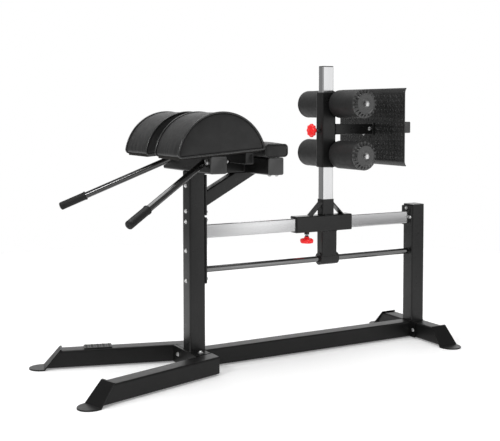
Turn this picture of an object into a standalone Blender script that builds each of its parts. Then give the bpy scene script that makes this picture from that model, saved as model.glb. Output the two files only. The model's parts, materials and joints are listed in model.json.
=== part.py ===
"""Roman chair: a floor-standing glute and ham bench with a sliding, height-adjustable ankle carriage.

Frame: metres, +Z up. +X runs from the front feet to the foot plate. The left side is -Y.
Sizes below are from the front upright's axis, on the floor. main() moves the finished model along X,
so that the origin is in the middle of its footprint.
"""
import math

import bmesh
import bpy
from mathutils import Matrix, Vector

# ---------------------------------------------------------------- driving dimensions (metres)
GAP = 0.0003                # clearance between touching pieces
TUBE = 0.075                # square section of the main frame tubes
WALL = 0.003                # wall of the main frame tubes
CORNER = 0.008              # outer corner radius of the frame tubes
HALF = TUBE / 2
PLATE_CORNER = 0.004        # round corners of welded plates
SLIM_CORNER = 0.005         # outer corner radius of the smaller tubes
LINER_CORNER, LINER_BORE_CORNER = 0.003, 0.004      # outer and inner corner radii of the plastic liners
SLEEVE_CORNER = 0.007       # outer corner radius of the sliding sleeves

# base
BASE_Z = 0.006              # underside of the base tubes, which is also the foot thickness
BASE_TOP = BASE_Z + TUBE
UPRIGHT_SPACING = 1.215     # front upright to rear upright, centre to centre
LEG_SPLAY = math.radians(16.5)
LEG_OFFSET = 0.142          # leg centre line from the middle plane, level with the front upright
LEG_REACH = 0.539           # along the leg, from the front upright to the top of its end plate
REAR_HALF_SPAN = 0.205      # middle plane to the top of the rear end plate
FOOT_TOP_HALF = 0.040       # half width of the end plate at its top
FOOT_FLOOR_HALF = 0.052     # half width of the end plate and its tab at the floor
FOOT_RUN = 0.065            # how far the end plate leans out over the tube height
FOOT_TAB = 0.064            # length of the floor tab
TAB_ROOT = 0.006            # straight start of the floor tab
FOOT_LIP = 0.006            # end plate above the tube
FOOT_STATIONS = 12
BEAM_FLANGE_HALF = 0.070
BEAM_FLANGE_PROUD = 0.003   # flange above the beam
FLANGE = 0.006
TIE_PLATE, TIE_PLATE_SUNK = 0.012, 0.001    # thickness, and how far its middle sits inside the tube's face
TIE_PLATE_EDGE = 0.002
TREAD_START, TREAD_END = 0.309, 0.431
TREAD_WIDTH, TREAD_HEIGHT, TREAD_EDGE = 0.066, 0.006, 0.002

# uprights, rail and guide bar
FRONT_TUBE_Z = 0.865        # underside of the pad crossbar on the front upright
REAR_UPRIGHT_TOP = 0.660
CAP = 0.004                 # visible thickness of the plastic end caps
CAP_EDGE = 0.0015           # eased edge of the end caps
CAP_PLUG = 0.016            # how deep an end cap plugs into its tube
RAIL_Y, RAIL_Z = 0.040, 0.060
RAIL_BOTTOM = 0.570
RAIL_PLATE = 0.008
RAIL_PLATE_BOTTOM, RAIL_PLATE_TOP = 0.373, 0.664
REAR_PLATE_BOTTOM, REAR_PLATE_TOP = 0.560, 0.656
GUIDE_RADIUS = 0.014
GUIDE_Z = 0.430

# pad frame
CROSSBAR_HALF = 0.236
REAR_TUBE_X, REAR_TUBE_Z = 0.275, 0.852
SPINE = 0.050
SPINE_CORNER = 0.006
BRACE_PLATE_BOTTOM, BRACE_PLATE_TOP = 0.672, 0.850
BRACE_ANGLE = math.radians(28.5)
BRACE_DEPTH = 0.060
BRACE_START_Z = 0.740       # brace centre line where it meets its plate
RISER_X, RISER_WIDTH = 0.145, 0.040
RISER_WALL, RISER_CORNER = 0.0025, 0.004
PAD_TILT = math.radians(4.4)
PAD_X, PAD_Z = -0.004, 0.949    # middle of the pad's flat underside
PAD_RADIUS = 0.2055
PAD_DROP = 0.0305           # arc centre below the flat underside
PAD_INNER, PAD_OUTER = 0.046, 0.285
PAD_EDGE = 0.010            # eased edge round the pad's ends
BOARD = 0.012
BOARD_PROUD = 0.006         # board below the pad's underside; the rest is let into the pad
BOARD_INSET = 0.014
PAD_ARC_STEPS = 28
CUSHION_WIDTH, CUSHION_HEIGHT, CUSHION_HALF = 0.118, 0.060, 0.245
CUSHION_ROUND = 0.014
HANDLE_RADIUS, HANDLE_WALL = 0.0145, 0.0025
HANDLE_START_Y, HANDLE_START_Z = 0.175, 0.910
HANDLE_END = (-0.468, 0.409, 0.697)
HANDLE_TIP = 0.006          # how far the tube stops short of the grip's closed end
GRIP_RADIUS, GRIP_LENGTH = 0.018, 0.127
GRIP_EDGE = 0.003           # eased edge of the closed end
GRIP_SKIN, GRIP_VENT = 0.004, 0.004     # thickness of the closed end, radius of its air hole

# sliding carriage
POST_X = 0.688
POST_LONG, POST_SHORT = 0.060, 0.040
POST_TOP = 1.335
SLEEVE_Y, SLEEVE_Z = 0.060, 0.076
SLEEVE_WALL = 0.004
SLEEVE_FRONT, SLEEVE_REAR = -0.176, 0.130
SLIDE_CLEARANCE = 0.0005
LINER_PROUD = 0.002
SOCKET_WALL, SOCKET_CORNER, SOCKET_TOP = 0.0027, 0.006, 0.712
GUSSET_REACH, GUSSET_THICK, GUSSET_WIDTH = 0.060, 0.006, 0.040
GUSSET_TOP = 0.698
HANGER_FRONT, HANGER_REAR = -0.034, 0.050
HANGER_Y = 0.048
HANGER_START = 0.010        # drop tube's lower end above the guide bar's axis, inside the bush sleeve
BUSH_SLEEVE_RADIUS, BUSH_BORE_RADIUS = 0.0285, 0.0185
BUSH_FRONT, BUSH_REAR = -0.040, 0.060

# roller carriage
ROLLER_SLEEVE_X, ROLLER_SLEEVE_Y, ROLLER_SLEEVE_WALL = 0.076, 0.056, 0.0035
ROLLER_SLEEVE_BOTTOM, ROLLER_SLEEVE_TOP = 0.864, 1.210
ROLLER_X = 0.742
ROLLER_HEIGHTS = {"upper": 1.158, "lower": 0.922}
ROLLER_RADIUS = 0.066
ROLLER_INNER, ROLLER_OUTER = 0.036, 0.228
FOAM_EDGE = 0.005
HUB_INNER, HUB_TUBE_RADIUS = 0.032, 0.020
HUB_CAP_RADIUS, HUB_FACE_RADIUS = 0.0655, 0.048
HUB_RIM, HUB_DISH = 0.005, 0.012    # straight rim and sloped shoulder of the end cap
AXLE_RADIUS = 0.0125
AXLE_WASHER, AXLE_WASHER_RADIUS = 0.002, 0.015
AXLE_HEAD, AXLE_HEAD_RADIUS = 0.008, 0.011
AXLE_BLOCK, AXLE_BLOCK_CORNER = 0.020, 0.003     # half size of the block that carries an axle
ARM = 0.050
ARM_Z = 1.040
ARM_FLANGE, ARM_FLANGE_HALF = 0.006, 0.030
PLATE_X, PLATE_THICK, PLATE_HALF_WIDTH = 0.947, 0.004, 0.260
PLATE_FLAT_BOTTOM, PLATE_FLAT_TOP = 0.894, 1.208
PLATE_BEND_RADIUS, PLATE_BEND, PLATE_BEND_STEPS = 0.032, math.radians(42), 5
FOOT_TUBE_X, FOOT_TUBE_Z, FOOT_TUBE_HALF = 0.040, 0.052, 0.245
FOOT_TUBE_MIDDLE_Z = 1.050

# spring pins
PIN_RADIUS, PIN_HOLE_RADIUS = 0.005, 0.0055
PIN_HOLE_STEPS = 16
PIN_HOLE_RINGS = [(-0.05, PIN_HOLE_RADIUS), (0.004, PIN_HOLE_RADIUS)]   # cutter through sleeve and liner
PIN_BOSS_RADIUS, PIN_BOSS = 0.013, 0.012
PIN_SHORT = 0.0005          # gap between the pin's tip and the chromed tube
KNOB_RADIUS, KNOB_LOBE, KNOB_LOBES, KNOB_HEIGHT = 0.0285, 0.0025, 8, 0.030
KNOB_EDGE = 0.004           # eased edges of the knob
KNOB_NECK, KNOB_NECK_RADIUS = 0.004, 0.012
KNOB_FLARE = 0.006          # distance from the knob's root to its wide part
PIN_GAP = 0.012             # knob to boss, with the pin engaged
CARRIAGE_PIN_X = 0.583
ROLLER_PIN_Z = 1.035

ROUND_STEPS = 24
BIG_ROUND_STEPS = 32

SIDES = {"left": -1, "right": 1}

MATERIALS = {
    "black_coat": ((0.018, 0.018, 0.020, 1), 0.42, 0.0),
    "chrome": ((0.62, 0.63, 0.65, 1), 0.18, 1.0),
    "black_plastic": ((0.022, 0.022, 0.024, 1), 0.50, 0.0),
    "black_leather": ((0.016, 0.016, 0.017, 1), 0.48, 0.0),
    "black_foam": ((0.020, 0.020, 0.021, 1), 0.75, 0.0),
    "black_rubber": ((0.015, 0.015, 0.015, 1), 0.80, 0.0),
    "red_plastic": ((0.62, 0.012, 0.015, 1), 0.35, 0.0),
    "plywood": ((0.09, 0.07, 0.05, 1), 0.70, 0.0),
}

X_AXIS, Y_AXIS, Z_AXIS = Vector((1, 0, 0)), Vector((0, 1, 0)), Vector((0, 0, 1))


# ---------------------------------------------------------------- objects and materials
def material(kind, name):
    """A Principled material of one kind for one sub-part."""
    colour, roughness, metallic = MATERIALS[kind]
    made = bpy.data.materials.new(name + "_finish")
    made.use_nodes = True
    shader = made.node_tree.nodes["Principled BSDF"]
    shader.inputs["Base Color"].default_value = colour
    shader.inputs["Roughness"].default_value = roughness
    shader.inputs["Metallic"].default_value = metallic
    made.diffuse_color = colour
    return made


def make_object(name, mesh_data, kind, origin=(0, 0, 0), parent=None, smooth=False):
    """Wraps a bmesh built in world coordinates as an object whose origin is at the given point."""
    bmesh.ops.recalc_face_normals(mesh_data, faces=mesh_data.faces[:])
    bmesh.ops.translate(mesh_data, verts=mesh_data.verts[:], vec=-Vector(origin))
    mesh = bpy.data.meshes.new(name)
    mesh_data.to_mesh(mesh)
    mesh_data.free()
    if smooth:
        mesh.shade_smooth()
        mesh.set_sharp_from_angle(angle=math.radians(35))
    made = bpy.data.objects.new(name, mesh)
    bpy.context.scene.collection.objects.link(made)
    made.data.materials.append(material(kind, name))
    if parent is None:
        made.location = origin
    else:
        made.parent = parent
        made.location = Vector(origin) - parent_place(parent)
    return made


def parent_place(empty):
    """World position of an empty, following its parents."""
    place = empty.location.copy()
    while empty.parent is not None:
        empty = empty.parent
        place += empty.location
    return place


def joint_empty(name, place, parent=None):
    """An empty on a joint's axis, which carries the pieces that move with the joint."""
    empty = bpy.data.objects.new(name, None)
    bpy.context.scene.collection.objects.link(empty)
    empty.parent = parent
    empty.location = Vector(place) - (parent_place(parent) if parent else Vector())
    return empty


def combine(target, tool, operation):
    """Adds or cuts one object with another, which is then removed."""
    bpy.context.view_layer.update()
    step = target.modifiers.new("combine", "BOOLEAN")
    step.operation = operation
    step.solver = "EXACT"
    step.object = tool
    bpy.context.view_layer.update()
    seen = target.evaluated_get(bpy.context.evaluated_depsgraph_get())
    result = bpy.data.meshes.new_from_object(seen)
    target.modifiers.clear()
    target.data = result
    bpy.data.objects.remove(tool, do_unlink=True)


# ---------------------------------------------------------------- mesh building
def add_loops(mesh_data, loops, closed_ring=False):
    """Joins a row of equal point loops with faces; the ends are capped, or joined into a ring."""
    rows = [[mesh_data.verts.new(point) for point in loop] for loop in loops]
    count = len(rows[0])
    last = len(rows) if closed_ring else len(rows) - 1
    for index in range(last):
        near, far = rows[index], rows[(index + 1) % len(rows)]
        for step in range(count):
            after = (step + 1) % count
            mesh_data.faces.new((near[step], near[after], far[after], far[step]))
    if not closed_ring:
        mesh_data.faces.new(rows[0])
        mesh_data.faces.new(rows[-1])


def solid(loops, closed_ring=False):
    """A closed body from point loops."""
    mesh_data = bmesh.new()
    add_loops(mesh_data, loops, closed_ring)
    return mesh_data


def rounded_rectangle(width, height, radius, steps=3):
    """Points of a rectangle with round corners, centred on (0, 0)."""
    points = []
    for corner in range(4):
        start = corner * math.pi / 2
        side = (1 if corner in (0, 3) else -1, 1 if corner in (0, 1) else -1)
        middle = (side[0] * (width / 2 - radius), side[1] * (height / 2 - radius))
        for step in range(steps + 1):
            angle = start + step * math.pi / 2 / steps
            points.append((middle[0] + radius * math.cos(angle), middle[1] + radius * math.sin(angle)))
    return points


def circle(radius, steps=ROUND_STEPS):
    """Points of a circle centred on (0, 0)."""
    return [(radius * math.cos(2 * math.pi * step / steps), radius * math.sin(2 * math.pi * step / steps))
            for step in range(steps)]


def run(profile, origin, direction, across, plane_point, plane_normal):
    """A profile laid square to a direction, then slid along it onto a cutting plane."""
    along = Vector(direction).normalized()
    side = Vector(across).normalized()
    up = along.cross(side)
    normal = Vector(plane_normal)
    loop = []
    for first, second in profile:
        point = Vector(origin) + side * first + up * second
        travel = (Vector(plane_point) - point).dot(normal) / along.dot(normal)
        loop.append(point + along * travel)
    return loop


def tube(origin, direction, across, outer, inner, start, end):
    """A hollow tube between two cutting planes, each a (point, normal) pair."""
    loops = []
    for profile, plane in ((outer, start), (outer, end), (inner, end), (inner, start)):
        loops.append(run(profile, origin, direction, across, *plane))
    return solid(loops, closed_ring=True)


def box_tube(low, high, axis, wall, corner=CORNER):
    """A hollow box tube along X, Y or Z, given by its outer corners."""
    low, high = Vector(low), Vector(high)
    middle = (low + high) / 2
    size = high - low
    direction = (X_AXIS, Y_AXIS, Z_AXIS)[axis]
    across = (Y_AXIS, Z_AXIS, X_AXIS)[axis]
    width, height = size[(axis + 1) % 3], size[(axis + 2) % 3]
    outer = rounded_rectangle(width, height, corner)
    inner = rounded_rectangle(width - 2 * wall, height - 2 * wall, max(corner - wall, 0.001))
    return tube(middle, direction, across, outer, inner, (low, direction), (high, direction))


def bar(low, high, axis, corner, steps=2):
    """A solid bar or plate along X, Y or Z with round long edges, given by its outer corners."""
    low, high = Vector(low), Vector(high)
    middle = (low + high) / 2
    size = high - low
    direction = (X_AXIS, Y_AXIS, Z_AXIS)[axis]
    across = (Y_AXIS, Z_AXIS, X_AXIS)[axis]
    profile = rounded_rectangle(size[(axis + 1) % 3], size[(axis + 2) % 3], corner, steps)
    return solid([run(profile, middle, direction, across, end, direction) for end in (low, high)])


def turned(rings, origin, direction, across, closed_ring=False, steps=ROUND_STEPS):
    """A turned body from (distance along the axis, radius) rings."""
    along = Vector(direction).normalized()
    loops = []
    for distance, radius in rings:
        place = Vector(origin) + along * distance
        loops.append(run(circle(radius, steps), place, direction, across, place, direction))
    return solid(loops, closed_ring)


def pipe(radius, wall, origin, direction, across, length, steps=ROUND_STEPS):
    """A hollow round tube from an origin along a direction."""
    rings = [(0, radius), (length, radius), (length, radius - wall), (0, radius - wall)]
    return turned(rings, origin, direction, across, True, steps)


def end_cap(width, height, wall, corner, origin, direction, across):
    """A plastic cap with a plug that fits inside a box tube; the direction points out of the tube."""
    outer = rounded_rectangle(width, height, corner)
    eased = rounded_rectangle(width - 2 * CAP_EDGE, height - 2 * CAP_EDGE, corner - CAP_EDGE)
    plug_wall = wall + GAP
    plug = rounded_rectangle(width - 2 * plug_wall, height - 2 * plug_wall, max(corner - plug_wall, 0.001))
    along = Vector(direction).normalized()
    loops = []
    for profile, distance in ((plug, -CAP_PLUG), (plug, GAP), (outer, GAP), (outer, CAP - CAP_EDGE),
                              (eased, CAP)):
        place = Vector(origin) + along * distance
        loops.append(run(profile, place, direction, across, place, direction))
    return solid(loops)


# ---------------------------------------------------------------- base
def leg_direction(side):
    """Horizontal direction of a front leg, away from the upright."""
    return Vector((-math.cos(LEG_SPLAY), side * math.sin(LEG_SPLAY), 0))


def foot_slope():
    """Normal of an end plate's face in (outward, up) terms."""
    return Vector((TUBE, FOOT_RUN)).normalized()


def foot_recess():
    """Horizontal distance through a sloped end plate."""
    return BASE_Z / foot_slope()[0]


def foot(origin, direction, reach):
    """Bent foot: a sloped plate on a tube's end that widens into a round floor tab."""
    out = Vector(direction).normalized()
    sideways = Z_AXIS.cross(out)
    top = BASE_TOP + FOOT_LIP
    lean = FOOT_RUN / TUBE
    face_top = reach - FOOT_LIP * lean
    face_floor = reach + FOOT_RUN
    back_floor = face_floor + BASE_Z * lean - foot_recess()
    loops = []
    for step in range(FOOT_STATIONS + 1):
        turn = math.pi * (step / FOOT_STATIONS - 0.5)
        share = math.sin(turn)
        end = face_floor + TAB_ROOT + (FOOT_TAB - TAB_ROOT) * math.cos(turn)
        profile = [(face_top, top, FOOT_TOP_HALF), (face_floor, BASE_Z, FOOT_FLOOR_HALF),
                   (end, BASE_Z, FOOT_FLOOR_HALF), (end, 0, FOOT_FLOOR_HALF),
                   (back_floor, 0, FOOT_FLOOR_HALF), (face_top - foot_recess(), top, FOOT_TOP_HALF)]
        loops.append([Vector(origin) + out * distance + sideways * share * half + Z_AXIS * height
                      for distance, height, half in profile])
    return solid(loops)


def footprint_centre_x():
    """Middle of the footprint along X, between the front tabs and the rear feet."""
    round_centre = LEG_REACH + FOOT_RUN + TAB_ROOT
    reach_x = (FOOT_TAB - TAB_ROOT) * math.cos(LEG_SPLAY)
    reach_y = FOOT_FLOOR_HALF * math.sin(LEG_SPLAY)
    front = round_centre * math.cos(LEG_SPLAY) + math.hypot(reach_x, reach_y)
    rear = UPRIGHT_SPACING + FOOT_FLOOR_HALF
    return (rear - front) / 2


def sloped_end(origin, direction, reach):
    """Cutting plane for a tube that ends against its sloped foot."""
    out = Vector(direction).normalized()
    normal = out * foot_slope()[0] + Z_AXIS * foot_slope()[1]
    point = Vector(origin) + out * (reach - foot_recess() - GAP) + Z_AXIS * BASE_TOP
    return point, normal


def build_base():
    """Base beam, crossmembers, splayed legs and feet."""
    outer = rounded_rectangle(TUBE, TUBE, CORNER)
    inner = rounded_rectangle(TUBE - 2 * WALL, TUBE - 2 * WALL, CORNER - WALL)
    middle_z = BASE_Z + HALF

    for side_name, side in SIDES.items():
        out = leg_direction(side)
        root = Vector((0, side * LEG_OFFSET, middle_z))
        floor_root = Vector((0, side * LEG_OFFSET, 0))
        across = Z_AXIS.cross(out)
        inner_end = (Vector((HALF, 0, 0)), X_AXIS)
        leg = tube(root, out, across, outer, inner, inner_end, sloped_end(floor_root, out, LEG_REACH))
        make_object("front_leg_" + side_name, leg, "black_coat")
        make_object("front_foot_" + side_name, foot(floor_root, out, LEG_REACH), "black_coat")
        rear_root = Vector((UPRIGHT_SPACING, 0, 0))
        rear_foot = foot(rear_root, Y_AXIS * side, REAR_HALF_SPAN)
        make_object("rear_foot_" + side_name, rear_foot, "black_coat")

    # front crossmember, cut at both ends along the legs' inner faces, with the tie plate on its front
    def leg_face(side):
        normal = Z_AXIS.cross(leg_direction(side))
        inner_face = Vector((0, side * (LEG_OFFSET - HALF / math.cos(LEG_SPLAY) - GAP), 0))
        return inner_face, normal

    cross = tube(Vector((0, 0, middle_z)), Y_AXIS, Z_AXIS, outer, inner, leg_face(-1), leg_face(1))
    crossmember = make_object("front_crossmember", cross, "black_coat")
    plate_profile = rounded_rectangle(TUBE, TIE_PLATE, TIE_PLATE_EDGE)
    plate_root = Vector((-HALF - TIE_PLATE / 2 + TIE_PLATE_SUNK, 0, middle_z))
    plate = solid([run(plate_profile, plate_root, Y_AXIS, Z_AXIS, *leg_face(side)) for side in (-1, 1)])
    combine(crossmember, make_object("tie_plate", plate, "black_coat"), "UNION")

    # base beam with the flange that bolts it to the rear crossbar
    flange_x = UPRIGHT_SPACING - HALF - GAP
    beam = box_tube((HALF + GAP, -HALF, BASE_Z), (flange_x - FLANGE / 2, HALF, BASE_TOP), 0, WALL)
    base_beam = make_object("base_beam", beam, "black_coat")
    flange_low = (flange_x - FLANGE, -BEAM_FLANGE_HALF, BASE_Z)
    flange_high = (flange_x, BEAM_FLANGE_HALF, BASE_TOP + BEAM_FLANGE_PROUD)
    flange = bar(flange_low, flange_high, 0, PLATE_CORNER)
    combine(base_beam, make_object("beam_flange", flange, "black_coat"), "UNION")

    rear_origin = Vector((UPRIGHT_SPACING, 0, middle_z))
    rear_floor = Vector((UPRIGHT_SPACING, 0, 0))
    ends = [sloped_end(rear_floor, Y_AXIS * side, REAR_HALF_SPAN) for side in (-1, 1)]
    crossbar = tube(rear_origin, Y_AXIS, Z_AXIS, outer, inner, *ends)
    make_object("rear_crossbar", crossbar, "black_coat")

    # tread on the right front leg
    out = leg_direction(1)
    root = Vector((0, LEG_OFFSET, BASE_TOP + GAP + TREAD_HEIGHT / 2))
    profile = rounded_rectangle(TREAD_WIDTH, TREAD_HEIGHT, TREAD_EDGE)
    ends = [(root + out * reach, out) for reach in (TREAD_START, TREAD_END)]
    tread = solid([run(profile, root, out, Z_AXIS.cross(out), *end) for end in ends])
    make_object("tread_pad", tread, "black_rubber")


# ---------------------------------------------------------------- uprights, rail and guide bar
def build_uprights():
    """Both uprights, the chromed slide rail and the round guide bar between them."""
    front = box_tube((-HALF, -HALF, BASE_TOP + GAP), (HALF, HALF, FRONT_TUBE_Z - GAP), 2, WALL)
    make_object("front_upright", front, "black_coat")
    rear_low = (UPRIGHT_SPACING - HALF, -HALF, BASE_TOP + GAP)
    rear_high = (UPRIGHT_SPACING + HALF, HALF, REAR_UPRIGHT_TOP)
    make_object("rear_upright", box_tube(rear_low, rear_high, 2, WALL), "black_coat")
    cap = end_cap(TUBE, TUBE, WALL, CORNER, (UPRIGHT_SPACING, 0, REAR_UPRIGHT_TOP), Z_AXIS, X_AXIS)
    make_object("rear_upright_cap", cap, "black_plastic")

    plate_front = HALF + GAP
    plate_rear = plate_front + RAIL_PLATE
    plate_low = (plate_front, -HALF, RAIL_PLATE_BOTTOM)
    plate = bar(plate_low, (plate_rear, HALF, RAIL_PLATE_TOP), 0, PLATE_CORNER)
    make_object("rail_plate_front", plate, "black_coat")
    rear_plate_rear = UPRIGHT_SPACING - HALF - GAP
    rear_plate_front = rear_plate_rear - RAIL_PLATE
    plate_low = (rear_plate_front, -HALF, REAR_PLATE_BOTTOM)
    plate = bar(plate_low, (rear_plate_rear, HALF, REAR_PLATE_TOP), 0, PLATE_CORNER)
    make_object("rail_plate_rear", plate, "black_coat")

    rail_low = (plate_rear + GAP, -RAIL_Y / 2, RAIL_BOTTOM)
    rail_high = (rear_plate_front - GAP, RAIL_Y / 2, RAIL_BOTTOM + RAIL_Z)
    make_object("slide_rail", box_tube(rail_low, rail_high, 0, WALL, SLIM_CORNER), "chrome")
    start = (plate_rear + GAP, 0, GUIDE_Z)
    length = rear_plate_rear - start[0]
    guide = pipe(GUIDE_RADIUS, WALL, start, X_AXIS, Y_AXIS, length)
    make_object("guide_bar", guide, "chrome", smooth=True)


# ---------------------------------------------------------------- pad frame, pads and handles
def build_pad_frame():
    """Crossbars, spine, brace and riser under the pads."""
    bars = {"front": (0, FRONT_TUBE_Z), "rear": (REAR_TUBE_X, REAR_TUBE_Z)}
    for name, (x, z) in bars.items():
        low, high = (x - HALF, -CROSSBAR_HALF, z), (x + HALF, CROSSBAR_HALF, z + TUBE)
        make_object("pad_crossbar_" + name, box_tube(low, high, 1, WALL), "black_coat")
        for side_name, side in SIDES.items():
            place = (x, side * CROSSBAR_HALF, z + HALF)
            cap = end_cap(TUBE, TUBE, WALL, CORNER, place, Y_AXIS * side, X_AXIS)
            make_object(f"crossbar_cap_{name}_{side_name}", cap, "black_plastic")

    spine_low = (HALF + GAP, -SPINE / 2, REAR_TUBE_Z)
    spine_high = (REAR_TUBE_X - HALF - GAP, SPINE / 2, REAR_TUBE_Z + SPINE)
    make_object("pad_spine", box_tube(spine_low, spine_high, 0, WALL, SPINE_CORNER), "black_coat")

    plate_low = (HALF + GAP, -HALF, BRACE_PLATE_BOTTOM)
    plate_high = (HALF + GAP + RAIL_PLATE, HALF, BRACE_PLATE_TOP)
    brace = make_object("pad_brace", bar(plate_low, plate_high, 0, PLATE_CORNER), "black_coat")
    direction = Vector((math.cos(BRACE_ANGLE), 0, math.sin(BRACE_ANGLE)))
    outer = rounded_rectangle(SPINE, BRACE_DEPTH, SPINE_CORNER)
    inner = rounded_rectangle(SPINE - 2 * WALL, BRACE_DEPTH - 2 * WALL, SPINE_CORNER - WALL)
    start = Vector((HALF + RAIL_PLATE / 2, 0, BRACE_START_Z))
    top = Vector((0, 0, REAR_TUBE_Z - GAP))
    strut = tube(start, direction, Y_AXIS, outer, inner, (start, X_AXIS), (top, Z_AXIS))
    combine(brace, make_object("brace_tube", strut, "black_coat"), "UNION")

    riser_low = (RISER_X - RISER_WIDTH / 2, -CROSSBAR_HALF, REAR_TUBE_Z + SPINE + GAP)
    riser_high = (RISER_X + RISER_WIDTH / 2, CROSSBAR_HALF, board_underside(riser_low[0]) - GAP)
    riser = box_tube(riser_low, riser_high, 1, RISER_WALL, RISER_CORNER)
    make_object("pad_riser", riser, "black_coat")


def board_underside(x):
    """Height of the tilted pad boards' underside at a place along the bench."""
    return PAD_Z + (x - PAD_X) * math.tan(PAD_TILT) - BOARD_PROUD / math.cos(PAD_TILT)


def pad_place(along, up, y):
    """World point of (along the pad, above its flat underside, y)."""
    tilt = Matrix.Rotation(-PAD_TILT, 4, "Y")
    return Vector((PAD_X, y, PAD_Z)) + tilt @ Vector((along, 0, up))


def pad_block(reach, low, high, start_y, end_y):
    """A flat block in the pad's tilted frame."""
    corners = [(-reach, low), (reach, low), (reach, high), (-reach, high)]
    return solid([[pad_place(along, up, y) for along, up in corners] for y in (start_y, end_y)])


def build_pads():
    """Half-moon thigh pads with their boards let into the underside, and the rear cushion."""
    half_chord = math.sqrt(PAD_RADIUS ** 2 - PAD_DROP ** 2)
    low_angle = math.asin(PAD_DROP / PAD_RADIUS)
    for side_name, side in SIDES.items():
        inner_y, outer_y = side * PAD_INNER, side * PAD_OUTER
        stations = [(inner_y, PAD_EDGE), (inner_y + side * PAD_EDGE, 0),
                    (outer_y - side * PAD_EDGE, 0), (outer_y, PAD_EDGE)]
        loops = []
        for y, shrink in stations:
            radius = PAD_RADIUS - shrink
            loop = []
            for step in range(PAD_ARC_STEPS + 1):
                angle = low_angle + (math.pi - 2 * low_angle) * step / PAD_ARC_STEPS
                up = max(PAD_RADIUS * math.sin(low_angle), radius * math.sin(angle)) - PAD_DROP
                loop.append(pad_place(radius * math.cos(angle), up, y))
            loops.append(loop)
        pad = make_object("thigh_pad_" + side_name, solid(loops), "black_leather", smooth=True)

        near, far = sorted((inner_y + side * BOARD_INSET, outer_y - side * BOARD_INSET))
        reach = half_chord - BOARD_INSET
        depth = BOARD - BOARD_PROUD
        recess = pad_block(reach + GAP, -BOARD_PROUD, depth + GAP, near - GAP, far + GAP)
        combine(pad, make_object("recess", recess, "black_leather"), "DIFFERENCE")
        board = pad_block(reach, -BOARD_PROUD, depth, near, far)
        make_object("pad_board_" + side_name, board, "plywood")

    low = (REAR_TUBE_X - CUSHION_WIDTH / 2, -CUSHION_HALF, REAR_TUBE_Z + TUBE + GAP)
    high = (REAR_TUBE_X + CUSHION_WIDTH / 2, CUSHION_HALF, low[2] + CUSHION_HEIGHT)
    make_object("rear_cushion", bar(low, high, 1, CUSHION_ROUND, 4), "black_leather", smooth=True)


def build_handles():
    """Splayed handles on the front crossbar, each with a closed rubber grip."""
    for side_name, side in SIDES.items():
        face_x = -HALF - GAP
        start = Vector((face_x, side * HANDLE_START_Y, HANDLE_START_Z))
        end = Vector((HANDLE_END[0], side * HANDLE_END[1], HANDLE_END[2]))
        along = (end - start).normalized()
        across = along.cross(Z_AXIS)
        outer, inner = circle(HANDLE_RADIUS), circle(HANDLE_RADIUS - HANDLE_WALL)
        tip = end - along * HANDLE_TIP
        handle = tube(start, along, across, outer, inner, (start, X_AXIS), (tip, along))
        make_object("handle_" + side_name, handle, "black_coat", smooth=True)
        bore = HANDLE_RADIUS + GAP
        rings = [(-GRIP_LENGTH, bore), (-GRIP_LENGTH, GRIP_RADIUS), (-GRIP_EDGE, GRIP_RADIUS),
                 (0, GRIP_RADIUS - GRIP_EDGE), (0, GRIP_VENT), (-GRIP_SKIN, GRIP_VENT), (-GRIP_SKIN, bore)]
        grip = turned(rings, end, along, across, True)
        make_object("grip_" + side_name, grip, "black_rubber", smooth=True)


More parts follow.
